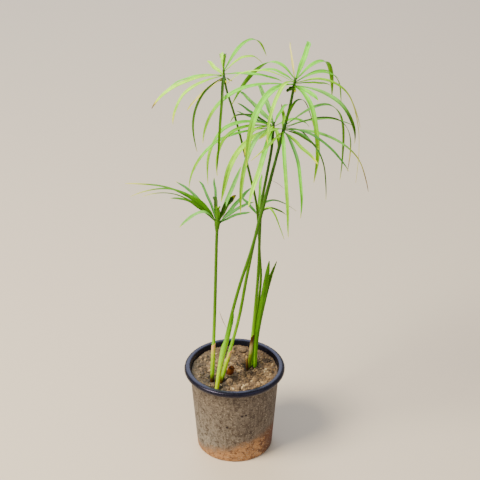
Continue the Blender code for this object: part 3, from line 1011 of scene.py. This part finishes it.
@dataclass
class ShootBlade:
    """One upright blade of the young shoot, folded round the next."""

    node: str
    route: Route
    width: float
    tone: Tone
    fold: float = 1.0

    def build(self, pattern: Object) -> None:
        """Stand a copy of the straight blade along its route.

        Args:
            pattern: the straight blade.
        """
        line = smooth_route(self.route, BLADE_ROWS + 1)
        green, foot = self.tone.colour(), Tone.GLOW.colour()
        wide = self.width * MM

        def bend(t: float, across: float, fold: float) -> tuple[Vector, Vector, float]:
            """Move a point of the pattern to its place on the blade.

            Args:
                t: share of the way to the tip.
                across: place across the blade, from -0.5 to 0.5.
                fold: rise over the midrib.

            Returns:
                The place, the green and the dryness.
            """
            row = min(BLADE_ROWS - 1, int(t * BLADE_ROWS))
            along = (line[row + 1] - line[row]).normalized()
            centre = line[row].lerp(line[row + 1], t * BLADE_ROWS - row)
            side = Vector((0, 1, 0)).cross(along).normalized()
            up = along.cross(side).normalized()
            return (centre + side * (across * wide) + up * (fold * wide * self.fold * (2.8 - 1.8 * t)),
                    foot.lerp(green, smooth(0.05, 0.3, t)), 0.0)

        shape_leaf(self.node.replace("blade", "leaf"), pattern, "young_shoot", [self.node], bend)


@dataclass
class Remnant:
    """A short dead stem or sheath with a hollow, ragged top.

    swell is the radius of each of its rings, from the foot up, in millimetres, and
    seed picks its dents, which are then the same in every run.
    """

    name: str
    node: str
    finish: Finish
    foot: Triple
    top: Triple
    swell: tuple[float, ...]
    seed: int

    def build(self) -> None:
        """Extrude the stem, hollow its top and crumple it."""
        line = smooth_route([self.foot, self.top], len(self.swell))
        piece = grow_tube(self.name, line, [radius * MM for radius in self.swell], 16)
        low, high = line[0].z, line[-1].z
        pick(piece, lambda point: point.z > high - 0.05 * MM)
        for lift, width in ((0.2 * MM, 0.72), (-3.0 * MM, 0.6)):
            extrude((0, 0, lift))
            bpy.ops.transform.resize(value=(width, width, 1), center_override=line[-1])
        let_go()
        paint_points(piece, "age", lambda point: (point.z - low) / (high - low))
        noise.seed_set(self.seed)
        for vertex in piece.data.vertices:
            share = (vertex.co.z - low) / (high - low)
            spot = Vector((vertex.co.x, vertex.co.y, vertex.co.z * 0.35)) / (1.8 * MM)
            dent = noise.noise_vector(spot + Vector((self.seed, 0, 0)))
            vertex.co += dent * (0.55 * MM * smooth(0, 0.4, share))
            if share > 0.9:
                vertex.co.z += noise.noise(spot * 1.7) * 2.0 * MM
        finish_piece(piece, self.finish, "dry_sheath", [self.node], 60)


@dataclass
class DryThread:
    """A hair-thin dried leaf tip."""

    name: str
    route: Route
    radius: float = 0.35
    rings: int = 9

    def build(self) -> None:
        """Extrude the thread, thin at both ends."""
        middle = (self.rings - 1) / 2
        radii = [self.radius * MM * (1 - abs(ring / middle - 1) ** 2 * 0.7) for ring in range(self.rings)]
        thread = grow_tube(self.name, smooth_route(self.route, self.rings), radii, 5)
        let_go()
        paint_points(thread, "age", lambda point: 0.6)
        finish_piece(thread, DRY_SHEATH, "dry_sheath", (), 60)


@dataclass
class NurseryPot:
    """The moulded pot: tapered wall, rolled rim and drain holes in a flat base."""

    steps: int = 128
    bead: float = 3.4 * MM
    lip_rise: float = 1.2 * MM
    dish: float = 1.2 * MM
    drain_radius: float = 4.5 * MM
    drain_ring: float = 33 * MM
    drain_count: int = 4

    def inner_radius(self, height: float) -> float:
        """Radius of the inner wall at a height."""
        share = (height - FLOOR) / (POT_HEIGHT - RIM_DEPTH - FLOOR)
        return BASE_RADIUS - WALL + share * (SHOULDER_RADIUS - BASE_RADIUS)

    def outer_radius(self, height: float) -> float:
        """Radius of the outer wall at a height."""
        return BASE_RADIUS + (SHOULDER_RADIUS - BASE_RADIUS) * height / (POT_HEIGHT - RIM_DEPTH)

    def profile(self) -> list[tuple[float, float]]:
        """Lay out the half section of the pot.

        Returns:
            Its points, as (radius, height), from the axis under the base and round.
        """
        under, top = POT_HEIGHT - RIM_DEPTH, POT_HEIGHT + self.lip_rise
        half = (RIM_DEPTH + self.lip_rise * 0.7) / 2
        foot = [(0, self.dish), (BASE_RADIUS - 5 * MM, self.dish), (BASE_RADIUS - 4.2 * MM, 0.0),
                (BASE_RADIUS - 1.6 * MM, 0.0), (BASE_RADIUS - 0.4 * MM, 0.5 * MM)]
        wall = [(self.outer_radius(height * MM), height * MM) for height in (1.6, 4, 8, 30, 60, 90, 104, 109)]
        bead = [(RIM_RADIUS - self.bead + math.cos(math.radians(turn)) * self.bead,
                 under + half + math.sin(math.radians(turn)) * half) for turn in range(-80, 91, 17)]
        lip = [(MOUTH_RADIUS + 2.2 * MM, top - 0.1 * MM), (MOUTH_RADIUS + 0.8 * MM, top - 0.6 * MM),
               (MOUTH_RADIUS, top - 2.2 * MM)]
        inner = [(self.inner_radius(height), height) for height in (under, 60 * MM, FLOOR + 1.5 * MM)]
        return [*foot, *wall, (SHOULDER_RADIUS + 0.5 * MM, under), *bead, *lip, *inner,
                (self.inner_radius(FLOOR) - 1.5 * MM, FLOOR), (0, FLOOR)]

    def build(self) -> None:
        """Spin the section, cut the drain holes and dress the pot."""
        pot = begin("nursery_pot", bpy.ops.mesh.primitive_circle_add, vertices=3, radius=1)
        bpy.ops.mesh.delete(type="VERT")
        mesh = bmesh.from_edit_mesh(pot.data)
        placed = [mesh.verts.new((radius, 0, height)) for radius, height in self.profile()]
        for first, second in zip(placed, placed[1:]):
            mesh.edges.new((first, second))
        bmesh.update_edit_mesh(pot.data)
        pick_all()
        bpy.ops.mesh.spin(steps=self.steps, angle=math.tau, center=(0, 0, 0), axis=(0, 0, 1))
        pick_all()
        bpy.ops.mesh.remove_doubles(threshold=0.01 * MM)
        mend_normals()
        let_go()
        for index in range(self.drain_count):
            self.drill(pot, math.tau * (index + 0.5) / self.drain_count)
        finish_piece(pot, POT_PLASTIC, "pot", ["pot"], 40)

    def drill(self, pot: Object, turn: float) -> None:
        """Cut one drain hole through the base.

        Args:
            pot: the pot.
            turn: the hole's angle round the base.
        """
        bit = begin("drain_bit", bpy.ops.mesh.primitive_cylinder_add, vertices=32,
                    radius=self.drain_radius, depth=8 * MM)
        x, y = self.drain_ring * math.cos(turn), self.drain_ring * math.sin(turn)
        bpy.ops.transform.translate(value=(x, y, 0))
        let_go()
        modify(pot, "BOOLEAN", operation="DIFFERENCE", solver="EXACT", object=bit)
        bpy.data.objects.remove(bit, do_unlink=True)


@dataclass
class Litter:
    """Small bits that lie on the soil, gathered into one piece."""

    name: str
    points: list[Vector] = field(default_factory=list)
    faces: list[tuple[int, ...]] = field(default_factory=list)
    shades: list[float] = field(default_factory=list)

    def add(self, points: Sequence[Vector], faces: Sequence[tuple[int, ...]], shade: float) -> None:
        """Add one bit.

        Args:
            points: its points.
            faces: its faces, whose numbers start at its own first point.
            shade: the shade of all its points.
        """
        start = len(self.points)
        self.points += points
        self.faces += [tuple(start + index for index in face) for face in faces]
        self.shades += [shade] * len(points)

    def join(self, angle: float) -> None:
        """Make the bits one piece.

        Args:
            angle: edges sharper than this many degrees stay sharp.
        """
        mesh = bpy.data.meshes.new(self.name)
        mesh.from_pydata(self.points, [], self.faces)
        piece = put(self.name, mesh)
        store(piece, "shade", self.shades)
        finish_piece(piece, SOIL, "soil", (), angle)


@dataclass
class SoilBed:
    """The soil: its lumpy surface, and the clods, crumbs and straw that lie on it.

    Lumps and straw keep their clear distance from the wall. dark_and_foot_shade is how much
    darker a lump is at the foot of a stem, as painted shade, and grit_share the share of pale lumps.
    """

    pot: NurseryPot
    stems: tuple[Culm, ...]
    cells: int = 120
    bank: float = 5 * MM
    hollow: float = 2.2 * MM
    hollow_radius: float = 7 * MM
    clods: int = 230
    crumbs: int = 2200
    lump_clear: float = 1.5 * MM
    lumpiness: float = 0.55
    dark_and_foot_shade: float = 0.7
    grit_share: float = 0.025
    straws: int = 70
    straw_clear: float = 6 * MM
    straw_bow: float = 0.4
    straw_rings: int = 5
    straw_sides: int = 4
    seed: int = 11

    def nearness(self, x: float, y: float) -> float:
        """How near a place is to a stem, from 0 far off to 1 at its foot."""
        return min(1.0, sum(math.exp(-((x - stem.route[0][0] * MM) ** 2 + (y - stem.route[0][1] * MM) ** 2)
                                     / self.hollow_radius ** 2) for stem in self.stems))

    def height(self, x: float, y: float) -> float:
        """Height of the soil: the CAD solid's, banked up at the wall, with finer lumps.

        Args:
            x: the place's distance to the right.
            y: its distance to the back.

        Returns:
            The height over the ground.
        """
        spot = Vector((x, y, 0)) / SOIL_LUMP_SPACING
        coarse = SOIL_LUMP * (noise.noise(spot) + 0.5 * noise.noise(spot * 2.3))
        fine = 1.1 * MM * noise.noise(spot * 5.0) + 0.6 * MM * noise.noise(spot * 11.0)
        banked = self.bank * smooth(36 * MM, 56 * MM, math.hypot(x, y))
        return SOIL_TOP + coarse + fine + banked - self.hollow * self.nearness(x, y)

    def bed(self) -> None:
        """Model the soil as one closed body that fills the pot."""
        reach = self.pot.inner_radius(SOIL_TOP) - 0.1 * MM
        low = self.pot.inner_radius(SOIL_BOTTOM) - 0.4 * MM
        bed = begin("soil_bed", bpy.ops.mesh.primitive_grid_add, x_subdivisions=self.cells,
                    y_subdivisions=self.cells, size=2 * reach + 2 * MM)
        pick(bed, lambda point: point.xy.length > reach + 1.4 * MM)
        bpy.ops.mesh.delete(type="VERT")
        mesh = bmesh.from_edit_mesh(bed.data)
        for point in mesh.verts:
            distance = point.co.xy.length
            if distance > reach - 0.6 * MM or point.is_boundary:
                point.co.xy *= reach / distance
            point.co.z = self.height(point.co.x, point.co.y)
        bmesh.update_edit_mesh(bed.data)
        pick_all()
        bpy.ops.mesh.remove_doubles(threshold=0.02 * MM)
        bpy.ops.mesh.select_all(action="DESELECT")
        bpy.ops.mesh.select_mode(type="EDGE")
        bpy.ops.mesh.select_non_manifold()
        for depth in (12 * MM, 40 * MM):
            extrude((0, 0, -depth))
        bpy.ops.transform.resize(value=(low / reach, low / reach, 0), center_override=(0, 0, SOIL_BOTTOM))
        bpy.ops.mesh.edge_face_add()
        bpy.ops.mesh.select_mode(type="VERT")
        mend_normals()
        # Its ragged rim misleads Blender, which turns the faces of this piece inwards
        bpy.ops.mesh.flip_normals()
        let_go()
        # Darker towards the left, and painted shade in the hollows round the feet of the stems.
        paint_points(bed, "shade", lambda point: 0.34 + 0.1 * point.x / reach
                     - 0.75 * self.nearness(point.x, point.y) + 0.12 * noise.noise(point / (6 * MM)))
        finish_piece(bed, SOIL, "soil", ["soil"], 70)

    def scatter(self, name: str, count: int, level: int, sizes: tuple[float, float], lift: float,
                seed: int) -> None:
        """Strew lumps over the soil.

        Args:
            name: the name of the new piece.
            count: how many lumps.
            level: subdivisions of the ball that each starts from.
            sizes: the smallest and the largest radius, in millimetres.
            lift: how far a lump's middle stands above the soil, as a share of its radius.
            seed: starts the random draws.
        """
        draw = random.Random(seed)
        ball = begin("lump_pattern", bpy.ops.mesh.primitive_ico_sphere_add, subdivisions=level, radius=1)
        let_go()
        corners = [vertex.co.copy() for vertex in ball.data.vertices]
        pattern = [tuple(face.vertices) for face in ball.data.polygons]
        bpy.data.objects.remove(ball, do_unlink=True)
        litter = Litter(name)
        reach = self.pot.inner_radius(SOIL_TOP) - self.lump_clear
        for _ in range(count):
            turn, far = draw.uniform(0, math.tau), reach * math.sqrt(draw.random())
            size = (sizes[0] + (sizes[1] - sizes[0]) * draw.random() ** 2.5) * MM
            x, y = math.cos(turn) * (far - size), math.sin(turn) * (far - size)
            spin = Matrix.Rotation(draw.uniform(0, math.tau), 3, "Z") @ Matrix.Rotation(
                draw.uniform(0, math.tau), 3, "X")
            squash = Vector((draw.uniform(0.7, 1.2), draw.uniform(0.7, 1.2), draw.uniform(0.5, 0.9)))
            plain = draw.random() > self.grit_share
            shade = draw.triangular(0.02, 0.84, 0.4) if plain else draw.uniform(0.75, 1.0)
            # Darker towards the left, and painted shade at the feet of the stems.
            shade += 0.08 * x / reach - self.dark_and_foot_shade * self.nearness(x, y)
            middle = Vector((x, y, self.height(x, y) + size * lift))
            lump = []
            for corner in corners:
                place = spin @ Vector(a * b for a, b in zip(corner, squash))
                bulge = 1 + self.lumpiness * noise.noise(corner * 1.7 + middle / MM)
                lump.append(middle + place * bulge * size)
            litter.add(lump, pattern, shade)
        litter.join(35)

    def straw(self) -> None:
        """Strew short bits of straw and root over the soil."""
        draw = random.Random(self.seed + 5)
        reach = self.pot.inner_radius(SOIL_TOP) - self.straw_clear
        sides, last = self.straw_sides, self.straw_rings - 1
        pattern = [(low + corner, low + (corner + 1) % sides, low + sides + (corner + 1) % sides,
                    low + sides + corner) for low in range(0, last * sides, sides) for corner in range(sides)]
        pattern += [tuple(range(sides - 1, -1, -1)), tuple(range(last * sides, (last + 1) * sides))]
        litter = Litter("soil_straw")
        for _ in range(self.straws):
            turn, far = draw.uniform(0, math.tau), reach * math.sqrt(draw.random())
            x, y = math.cos(turn) * far, math.sin(turn) * far
            heading, length = draw.uniform(0, math.tau), draw.uniform(3, 9) * MM
            thick, shade = draw.uniform(0.25, 0.5) * MM, draw.uniform(0.15, 1.0)
            along = Vector((math.cos(heading), math.sin(heading), 0))
            side = Vector((-along.y, along.x, 0))
            bit = []
            for ring in range(self.straw_rings):
                share = ring / last - 0.5
                bow = share * share * length * self.straw_bow
                place = Vector((x, y, 0)) + along * (share * length) + side * bow
                place.z = self.height(place.x, place.y) + thick * 0.8
                for corner in range(sides):
                    angle = math.tau * corner / sides
                    bit.append(place + (side * math.cos(angle) + Vector((0, 0, math.sin(angle)))) * thick)
            litter.add(bit, pattern, shade)
        litter.join(50)

    def build(self) -> None:
        """Make the bed and what lies on it."""
        self.bed()
        self.scatter("soil_clods", self.clods, 2, (1.5, 5.2), 0.0, self.seed)
        self.scatter("soil_crumbs", self.crumbs, 1, (0.4, 1.5), 0.35, self.seed + 1)
        self.straw()


@dataclass
class Lamp:
    """One soft square lamp; power in watts, size the length of its side."""

    name: str
    place: Triple
    size: float
    power: float
    tint: str

    def build(self, aim: Triple) -> None:
        """Hang the lamp.

        Args:
            aim: the point that it faces.
        """
        data = bpy.data.lights.new(self.name, "AREA")
        data.energy = self.power
        data.size = self.size
        data.color = linear(self.tint)[:3]
        lamp = put(self.name, data)
        lamp.location = self.place
        lamp.rotation_euler = (Vector(aim) - Vector(self.place)).to_track_quat("-Z", "Y").to_euler()


@dataclass
class Studio:
    """Plain pale floor, soft studio light and a camera at the photograph's angle."""

    lamps: tuple[Lamp, ...] = (Lamp("key", (-1.3, -0.7, 1.9), 1.0, 112, "#fff0d4"),
                               Lamp("fill", (1.4, -1.6, 1.3), 1.6, 10, "#e6efff"),
                               Lamp("back", (-0.4, 2.2, 2.0), 2.0, 45, "#e2ecff"))
    aim: Triple = (0, 0, 0.25)
    camera_place: Triple = (0.007, -1.65, 1.25)
    camera_tilt: float = 60.2
    lens: float = 115.8
    sensor: float = 36
    floor_size: float = 12.0
    sky: str = "#eae6de"
    sky_strength: float = 0.6

    def build(self) -> None:
        """Lay the floor, hang the lamps and set the camera."""
        floor = begin("studio_floor", bpy.ops.mesh.primitive_plane_add, size=self.floor_size)
        bpy.ops.transform.translate(value=(0, 0, -0.2 * MM))
        let_go()
        floor.data.materials.append(PAPER.material())
        for lamp in self.lamps:
            lamp.build(self.aim)
        world = bpy.data.worlds.new("studio")
        world.use_nodes = True
        back = world.node_tree.nodes["Background"]
        feed(back.inputs["Color"], self.sky)
        feed(back.inputs["Strength"], self.sky_strength)
        bpy.context.scene.world = world
        data = bpy.data.cameras.new("camera")
        data.lens = self.lens
        data.sensor_width = self.sensor
        camera = put("camera", data)
        camera.location = self.camera_place
        camera.rotation_euler = (math.radians(self.camera_tilt), 0, 0)
        bpy.context.scene.camera = camera


SHORT = Culm("culm_short", 2.4, 1.9, (
    (-29.5, -17, ROOT_Z), (-27, -17, 152), (-24.5, -17, 215), (-22, -17, 300), (-20.5, -17, 341)), flare=1.9)
FRONT = Culm("culm_front", 2.3, 1.8, (
    (-24, -34, ROOT_Z), (-18, -32, 140), (-5, -29.5, 207), (7, -26.5, 257), (21, -24, 305),
    (35, -20, 362), (47, -17.5, 414), (59.5, -15, 470)), crown_shadow_age=1.0)
TALL = Culm("culm_tall", 2.2, 1.7, (
    (-20, -19.5, ROOT_Z), (-12, -18, 128), (5, -14, 197), (16, -10.5, 262), (28, -6, 325),
    (42, -3, 385), (56, 0.5, 442), (66, 3, 486), (71.5, 5, 519)), crown_shadow_age=0.9)
MIDDLE = Culm("culm_middle", 2.2, 1.7, (
    (18, 14, ROOT_Z), (21.8, 14.4, 140), (27, 13.5, 205), (30.3, 13, 258), (31.5, 13, 310),
    (33.5, 12.5, 350), (39, 12, 386), (45, 12, 425), (47, 12, 459)), crown_shadow_age=0.95)
LEFT = Culm("culm_left", 1.9, 1.3, (
    (22, 20.5, ROOT_Z), (26, 20.5, 164), (31, 21, 205), (33.5, 22, 238), (32, 22.5, 268),
    (28, 23.5, 337), (20, 24, 378), (9, 24.5, 428), (-1, 25, 468), (-9, 25, 496), (-12.5, 25, 521)),
    crown_shadow_age=0.8, foot_shade_age=0.4)
BACK = Culm("culm_back", 1.9, 1.5, (
    (19, 26, ROOT_Z), (23.3, 28, 150), (28.7, 31, 220), (31.2, 34, 280), (30, 36, 321)),
    crown_shadow_age=0.8, foot_shade_age=0.45)
CULMS = (SHORT, FRONT, TALL, MIDDLE, LEFT, BACK)

SHEATHS = (
    Sheath("sheath_short", SHORT, 165, 0.1, 0.2, PALE_SHEATH),
    Sheath("sheath_front", FRONT, 216, 1.7, 0.1, GREEN_SHEATH, "green_sheath", 26.0, 24, 30),
    Sheath("sheath_tall", TALL, 153, 0.3, 0.3, PALE_SHEATH),
    Sheath("sheath_middle", MIDDLE, 156, 0.0, 0.1, BROWNED_SHEATH),
)

REMAINS = (
    Remnant("stub", "dead_stub", RUSTY_STUB, (-7, -3, 104), (-4, -5.5, 119.5),
            (3.8, 4.2, 4.4, 4.4, 4.08, 3.6), 3),
    Remnant("dry_wrap", "dry_sheath", DRY_SHEATH, (16.5, 9, 104), (15.5, 8.5, 127),
            (1.7, 1.87, 1.87, 1.7, 1.53, 1.36, 1.19), 8),
)

# Each blade's tone and fall paint the light on it (shade, sky sheen and glow) along with its own green.
UMBELS = (
    Umbel("left", LEFT, (
        Blade(52, 44, 78, 7, 0.67, 5.5, -2, Tone.MINT, Tone.PALE, slim=0.3),
        Blade(95, 34, 60, 8, 0.55, 5.0, 0, Tone.PALE),
        Blade(28, 42, 50, 0, 0.60, 3.5, 0, Tone.PALE, Tone.GLOW, tip=Tip.YELLOW),
        Blade(355, 8, 66, 7, 0.60, 5.0, 0, Tone.MINT),
        Blade(223, -8, 55, 26, 0.67, 4.2, -2, Tone.STRAW, Tone.STRAW, tip=Tip.YELLOW, slim=0.3),
        Blade(186, 2, 85, 36, 0.69, 5.2, 5, Tone.PALE, Tone.PALE, tip=Tip.BROWN),
        Blade(209, 2, 67, 47, 0.97, 4.5, 0, Tone.PALE, Tone.GLOW, tip=Tip.YELLOW),
        Blade(232, -1, 60, 72, 1.28, 3.4, 7, Tone.DEEP, Tone.OLIVE, roll=35),
        Blade(268, 12, 60, 102, 1.00, 4.0, -6, Tone.DEEP, Tone.OLIVE, slim=0.1),
    ), (
        Blade(130, 15, 30, -8, 0.55, 5.0, 0, Tone.PALE),
        Blade(85, 60, 28, -4, 0.5, 3.2, 0, Tone.OLIVE, tip=Tip.BROWN),
        Blade(178, 8, 64, 16, 0.6, 4.0, 0, Tone.MINT),
        Blade(330, -10, 7, 3, 0.5, 2.2, 0, Tone.OLIVE, tip=Tip.DRYING),
        Blade(215, -15, 6, 3, 0.5, 2.2, 0, Tone.OLIVE, tip=Tip.DRYING),
        Blade(285, -20, 5, 4, 0.5, 2.2, 0, Tone.OLIVE, tip=Tip.DRYING),
    )),
    Umbel("tall", TALL, (
        Blade(66, 37, 59, -25, 0.68, 6.8, 9, Tone.MINT),
        Blade(99, 44, 47, -26, 0.71, 3.0, -3, Tone.STRAW, Tone.STRAW, slim=0.5),
        Blade(139, 47, 92, 62, 0.44, 6.0, 4, Tone.MINT, Tone.OLIVE, roll=115),
        Blade(35, 39, 60, 40, 0.90, 6.2, 7, Tone.MINT, roll=-50),
        Blade(2, 23, 79, 65, 0.75, 5.0, 11, Tone.PALE, Tone.STRAW, slim=0.4),
        Blade(334, 4, 75, 59, 1.01, 6.2, 1, Tone.SAGE, Tone.OLIVE),
        Blade(305, 0, 41, 108, 1.45, 6.2, -1, Tone.MINT),
        Blade(218, 17, 72, 82, 0.84, 8.2, 3, Tone.MINT, roll=-25),
        Blade(194, 13, 105, 67, 0.94, 6.0, -5, Tone.MINT),
        Blade(241, 30, 65, 45, 0.68, 5.0, 0, Tone.PALE, Tone.GLOW),
        Blade(347, 24, 76, 118, 1.15, 5.2, -6, Tone.LIME, Tone.STRAW, tip=Tip.YELLOW, slim=0.5),
        Blade(29, 25, 64, 43, 0.94, 3.4, 1, Tone.MINT),
    ), (
        Blade(5, 12, 40, 3, 0.55, 2.8, 0, Tone.PALE),
        Blade(320, 0, 34, 8, 0.55, 5.5, 0, Tone.MINT),
        Blade(160, 38, 44, -4, 0.5, 4.4, 0, Tone.MINT),
        Blade(168, 30, 80, 12, 0.6, 2.4, 0, Tone.PALE, tip=Tip.YELLOW),
        Blade(22, 28, 54, 5, 0.6, 3.6, 0, Tone.MINT),
        Blade(235, -5, 11, 3, 0.6, 5.0, 0, Tone.DEEP),
        Blade(282, -15, 6, 4, 0.6, 3.0, 0, Tone.OLIVE, tip=Tip.DRYING),
    )),
    Umbel("front", FRONT, (
        Blade(27, 31, 75, 89, 1.29, 5.5, -1, Tone.SAGE, Tone.OLIVE, slim=0.25),
        Blade(14, 15, 83, 10, 0.64, 3.8, 3, Tone.SAGE, Tone.OLIVE, slim=0.4),
        Blade(348, 6, 100, 73, 0.91, 6.2, 2, Tone.SAGE, Tone.OLIVE, tip=Tip.DRYING, slim=0.5),
        Blade(322, 14, 86, 32, 0.67, 4.2, 5, Tone.TEAL, Tone.TEAL, slim=0.2),
        Blade(289, 1, 54, 88, 1.21, 4.4, 2, Tone.TEAL, Tone.MINT),
        Blade(271, -5, 62, 106, 0.72, 5.0, 5, Tone.MINT),
        Blade(51, 67, 64, 38, 0.41, 3.8, 4, Tone.OLIVE, Tone.OLIVE, tip=Tip.BROWN, slim=0.6),
        Blade(320, 10, 62, 72, 1.05, 3.4, 0, Tone.TEAL, Tone.OLIVE, slim=0.3),
    ), (
        Blade(315, 12, 54, 6, 0.5, 3.0, 0, Tone.DEEP),
        Blade(305, -5, 65, 15, 0.5, 4.4, 0, Tone.LIME, tip=Tip.YELLOW),
        Blade(82, -29, 53, -10, 0.31, 5.4, 9, Tone.LIME, tip=Tip.BROWN, roll=20),
        Blade(5, 25, 75, 60, 1.2, 2.8, 0, Tone.DEEP, Tone.DEEP, tip=Tip.BROWN),
        Blade(330, 25, 37, 14, 0.5, 1.7, 6, Tone.DEEP, Tone.DEEP),
        Blade(210, 20, 30, 6, 0.6, 5.0, 0, Tone.GLOW, tip=Tip.YELLOW),
        Blade(237, -10, 60, 13, 0.14, 3.4, -4, Tone.LIME, tip=Tip.YELLOW, roll=40),
        Blade(262, -10, 7, 4, 0.6, 3.5, 0, Tone.DEEP),
    )),
    Umbel("middle", MIDDLE, (
        Blade(110, 48, 56, -27, 0.50, 6.5, 0, Tone.SAGE, slim=0.2),
        Blade(129, 24, 62, -21, 0.50, 7.0, 0, Tone.SAGE, slim=0.2),
        Blade(188, 20, 77, 72, 1.05, 6.5, 3, Tone.MINT),
        Blade(194, 3, 100, 69, 0.96, 4.8, -1, Tone.MINT, slim=0.15),
        Blade(198, 16, 67, 55, 1.10, 5.6, 1),
        Blade(226, 6, 56, 92, 0.97, 5.8, 4, Tone.SAGE, roll=-30),
        Blade(214, 2, 72, 76, 0.83, 7.2, 0, Tone.PALE, roll=-40),
        Blade(249, -20, 66, 72, 0.47, 6.8, -5, Tone.MINT, Tone.PALE),
    ), (
        Blade(145, 20, 50, -18, 0.5, 4.0, 0, Tone.TEAL),
        Blade(160, 20, 44, -14, 0.5, 3.0, 0, Tone.TEAL),
        Blade(170, 35, 50, 0, 0.7, 3.0, 0, Tone.DEEP),
        Blade(255, 30, 24, 12, 0.8, 5.5, 0, Tone.GLOW, tip=Tip.YELLOW, roll=70),
        Blade(285, 20, 22, 18, 0.9, 5.0, 0, Tone.GLOW, tip=Tip.BROWN, roll=-60),
        Blade(205, 20, 34, 30, 1.0, 4.5, 0, Tone.GLOW, tip=Tip.YELLOW),
        Blade(60, 45, 36, -10, 0.5, 4.0, 0, Tone.MINT),
        Blade(20, 25, 44, 8, 0.7, 4.0, 0, Tone.MINT),
    )),
    Umbel("short", SHORT, (
        Blade(155, 52, 127, -22, 0.32, 6.0, -3, Tone.GRASS, Tone.OLIVE, tip=Tip.YELLOW, slim=0.55),
        Blade(158, 54, 106, -21, 0.39, 5.5, 9, Tone.GRASS, Tone.OLIVE, tip=Tip.YELLOW, slim=0.5),
        Blade(142, 52, 66, -34, 0.41, 4.8, -4, Tone.TEAL, slim=0.2),
        Blade(65, 40, 65, -48, 0.50, 5.4, 0, Tone.SAGE),
        Blade(40, 38, 53, -34, 0.50, 5.4, 0, Tone.TEAL),
    ), (
        Blade(170, 50, 89, -26, 0.5, 3.0, 0, Tone.OLIVE, tip=Tip.YELLOW, slim=0.4),
        Blade(161, 46, 58, -22, 0.5, 5.5, 0, Tone.GRASS, slim=0.3),
        Blade(115, 50, 52, -30, 0.5, 3.6, 0, Tone.TEAL),
        Blade(95, 60, 45, -35, 0.4, 3.6, 0, Tone.TEAL),
        Blade(276, 82, 8, -25, 0.5, 6.5, 0, Tone.GRASS),
        Blade(60, 40, 42, -17, 0.5, 7.0, 0, Tone.DEEP, tip=Tip.BROWN, roll=40),
        Blade(20, 38, 45, -20, 0.5, 5.0, 0, Tone.TEAL),
        Blade(8, 30, 38, -13, 0.5, 4.0, 0, Tone.TEAL),
        Blade(192, 67, 44, 1, 0.3, 5.2, 4, Tone.SAGE, Tone.SAGE),
        Blade(146, 52, 40, -24, 0.5, 6.0, 0, Tone.GRASS),
        Blade(100, 72, 20, -22, 0.5, 5.0, 0, Tone.DEEP),
    )),
    Umbel("back", BACK, (
        Blade(32, 82, 50, 6, 0.10, 3.6, -8, Tone.TEAL, Tone.TEAL),
        Blade(331, 73, 34, 23, 0.38, 3.0, -1, Tone.PALE, Tone.PALE),
    ), (
        Blade(130, 30, 30, -14, 0.5, 4.0, 0, Tone.TEAL),
        Blade(350, 65, 32, -3, 0.3, 4.0, 0, Tone.OLIVE),
        Blade(85, 60, 40, -35, 0.5, 4.0),
    )),
)

BRACT_SHAPE = BladeShape("bract_shape", 0.34, 0.24, 0.4, 4.5)
SHOOT_SHAPE = BladeShape("shoot_shape", 0.42, 0.66, 0.66, 3.2, 0.16)

SHOOT = (
    ShootBlade("shoot_blade_outer", (
        (25.5, 11, 104), (27.5, 10.5, 140), (30.5, 10.5, 172), (35.3, 10.5, 205), (39.6, 10.5, 236),
        (43.5, 10, 269)), 7.2, Tone.GRASS, 1.3),
    ShootBlade("shoot_blade_inner", (
        (27.5, 15, 104), (29.2, 15, 145), (33.2, 15, 180), (39.3, 15, 215), (45.8, 15.5, 243),
        (53, 16, 265)), 5.0, Tone.DEEP),
)

THREADS = (
    DryThread("dry_thread_low", (
        (-18.5, -33, 222), (-16, -33.2, 213), (-12.5, -32.5, 203), (-9.5, -31, 196))),
    DryThread("dry_thread_high", (
        (44, -9, 393), (50.5, -10, 390), (56, -10.5, 386), (59.5, -10.5, 382))),
)


def main() -> None:
    """Build the studio, the pot, the soil and the plant."""
    logging.basicConfig(level=logging.INFO, format="%(name)s: %(message)s")
    Studio().build()
    pot = NurseryPot()
    pot.build()
    SoilBed(pot, CULMS).build()
    for piece in (*CULMS, *SHEATHS, *REMAINS, *THREADS):
        piece.build()
    pattern, shoot_pattern = BRACT_SHAPE.build(), SHOOT_SHAPE.build()
    for blade in SHOOT:
        blade.build(shoot_pattern)
    for umbel in UMBELS:
        umbel.build(pattern)
    for sheet in (pattern, shoot_pattern):
        bpy.data.objects.remove(sheet, do_unlink=True)


if __name__ == "__main__":
    main()
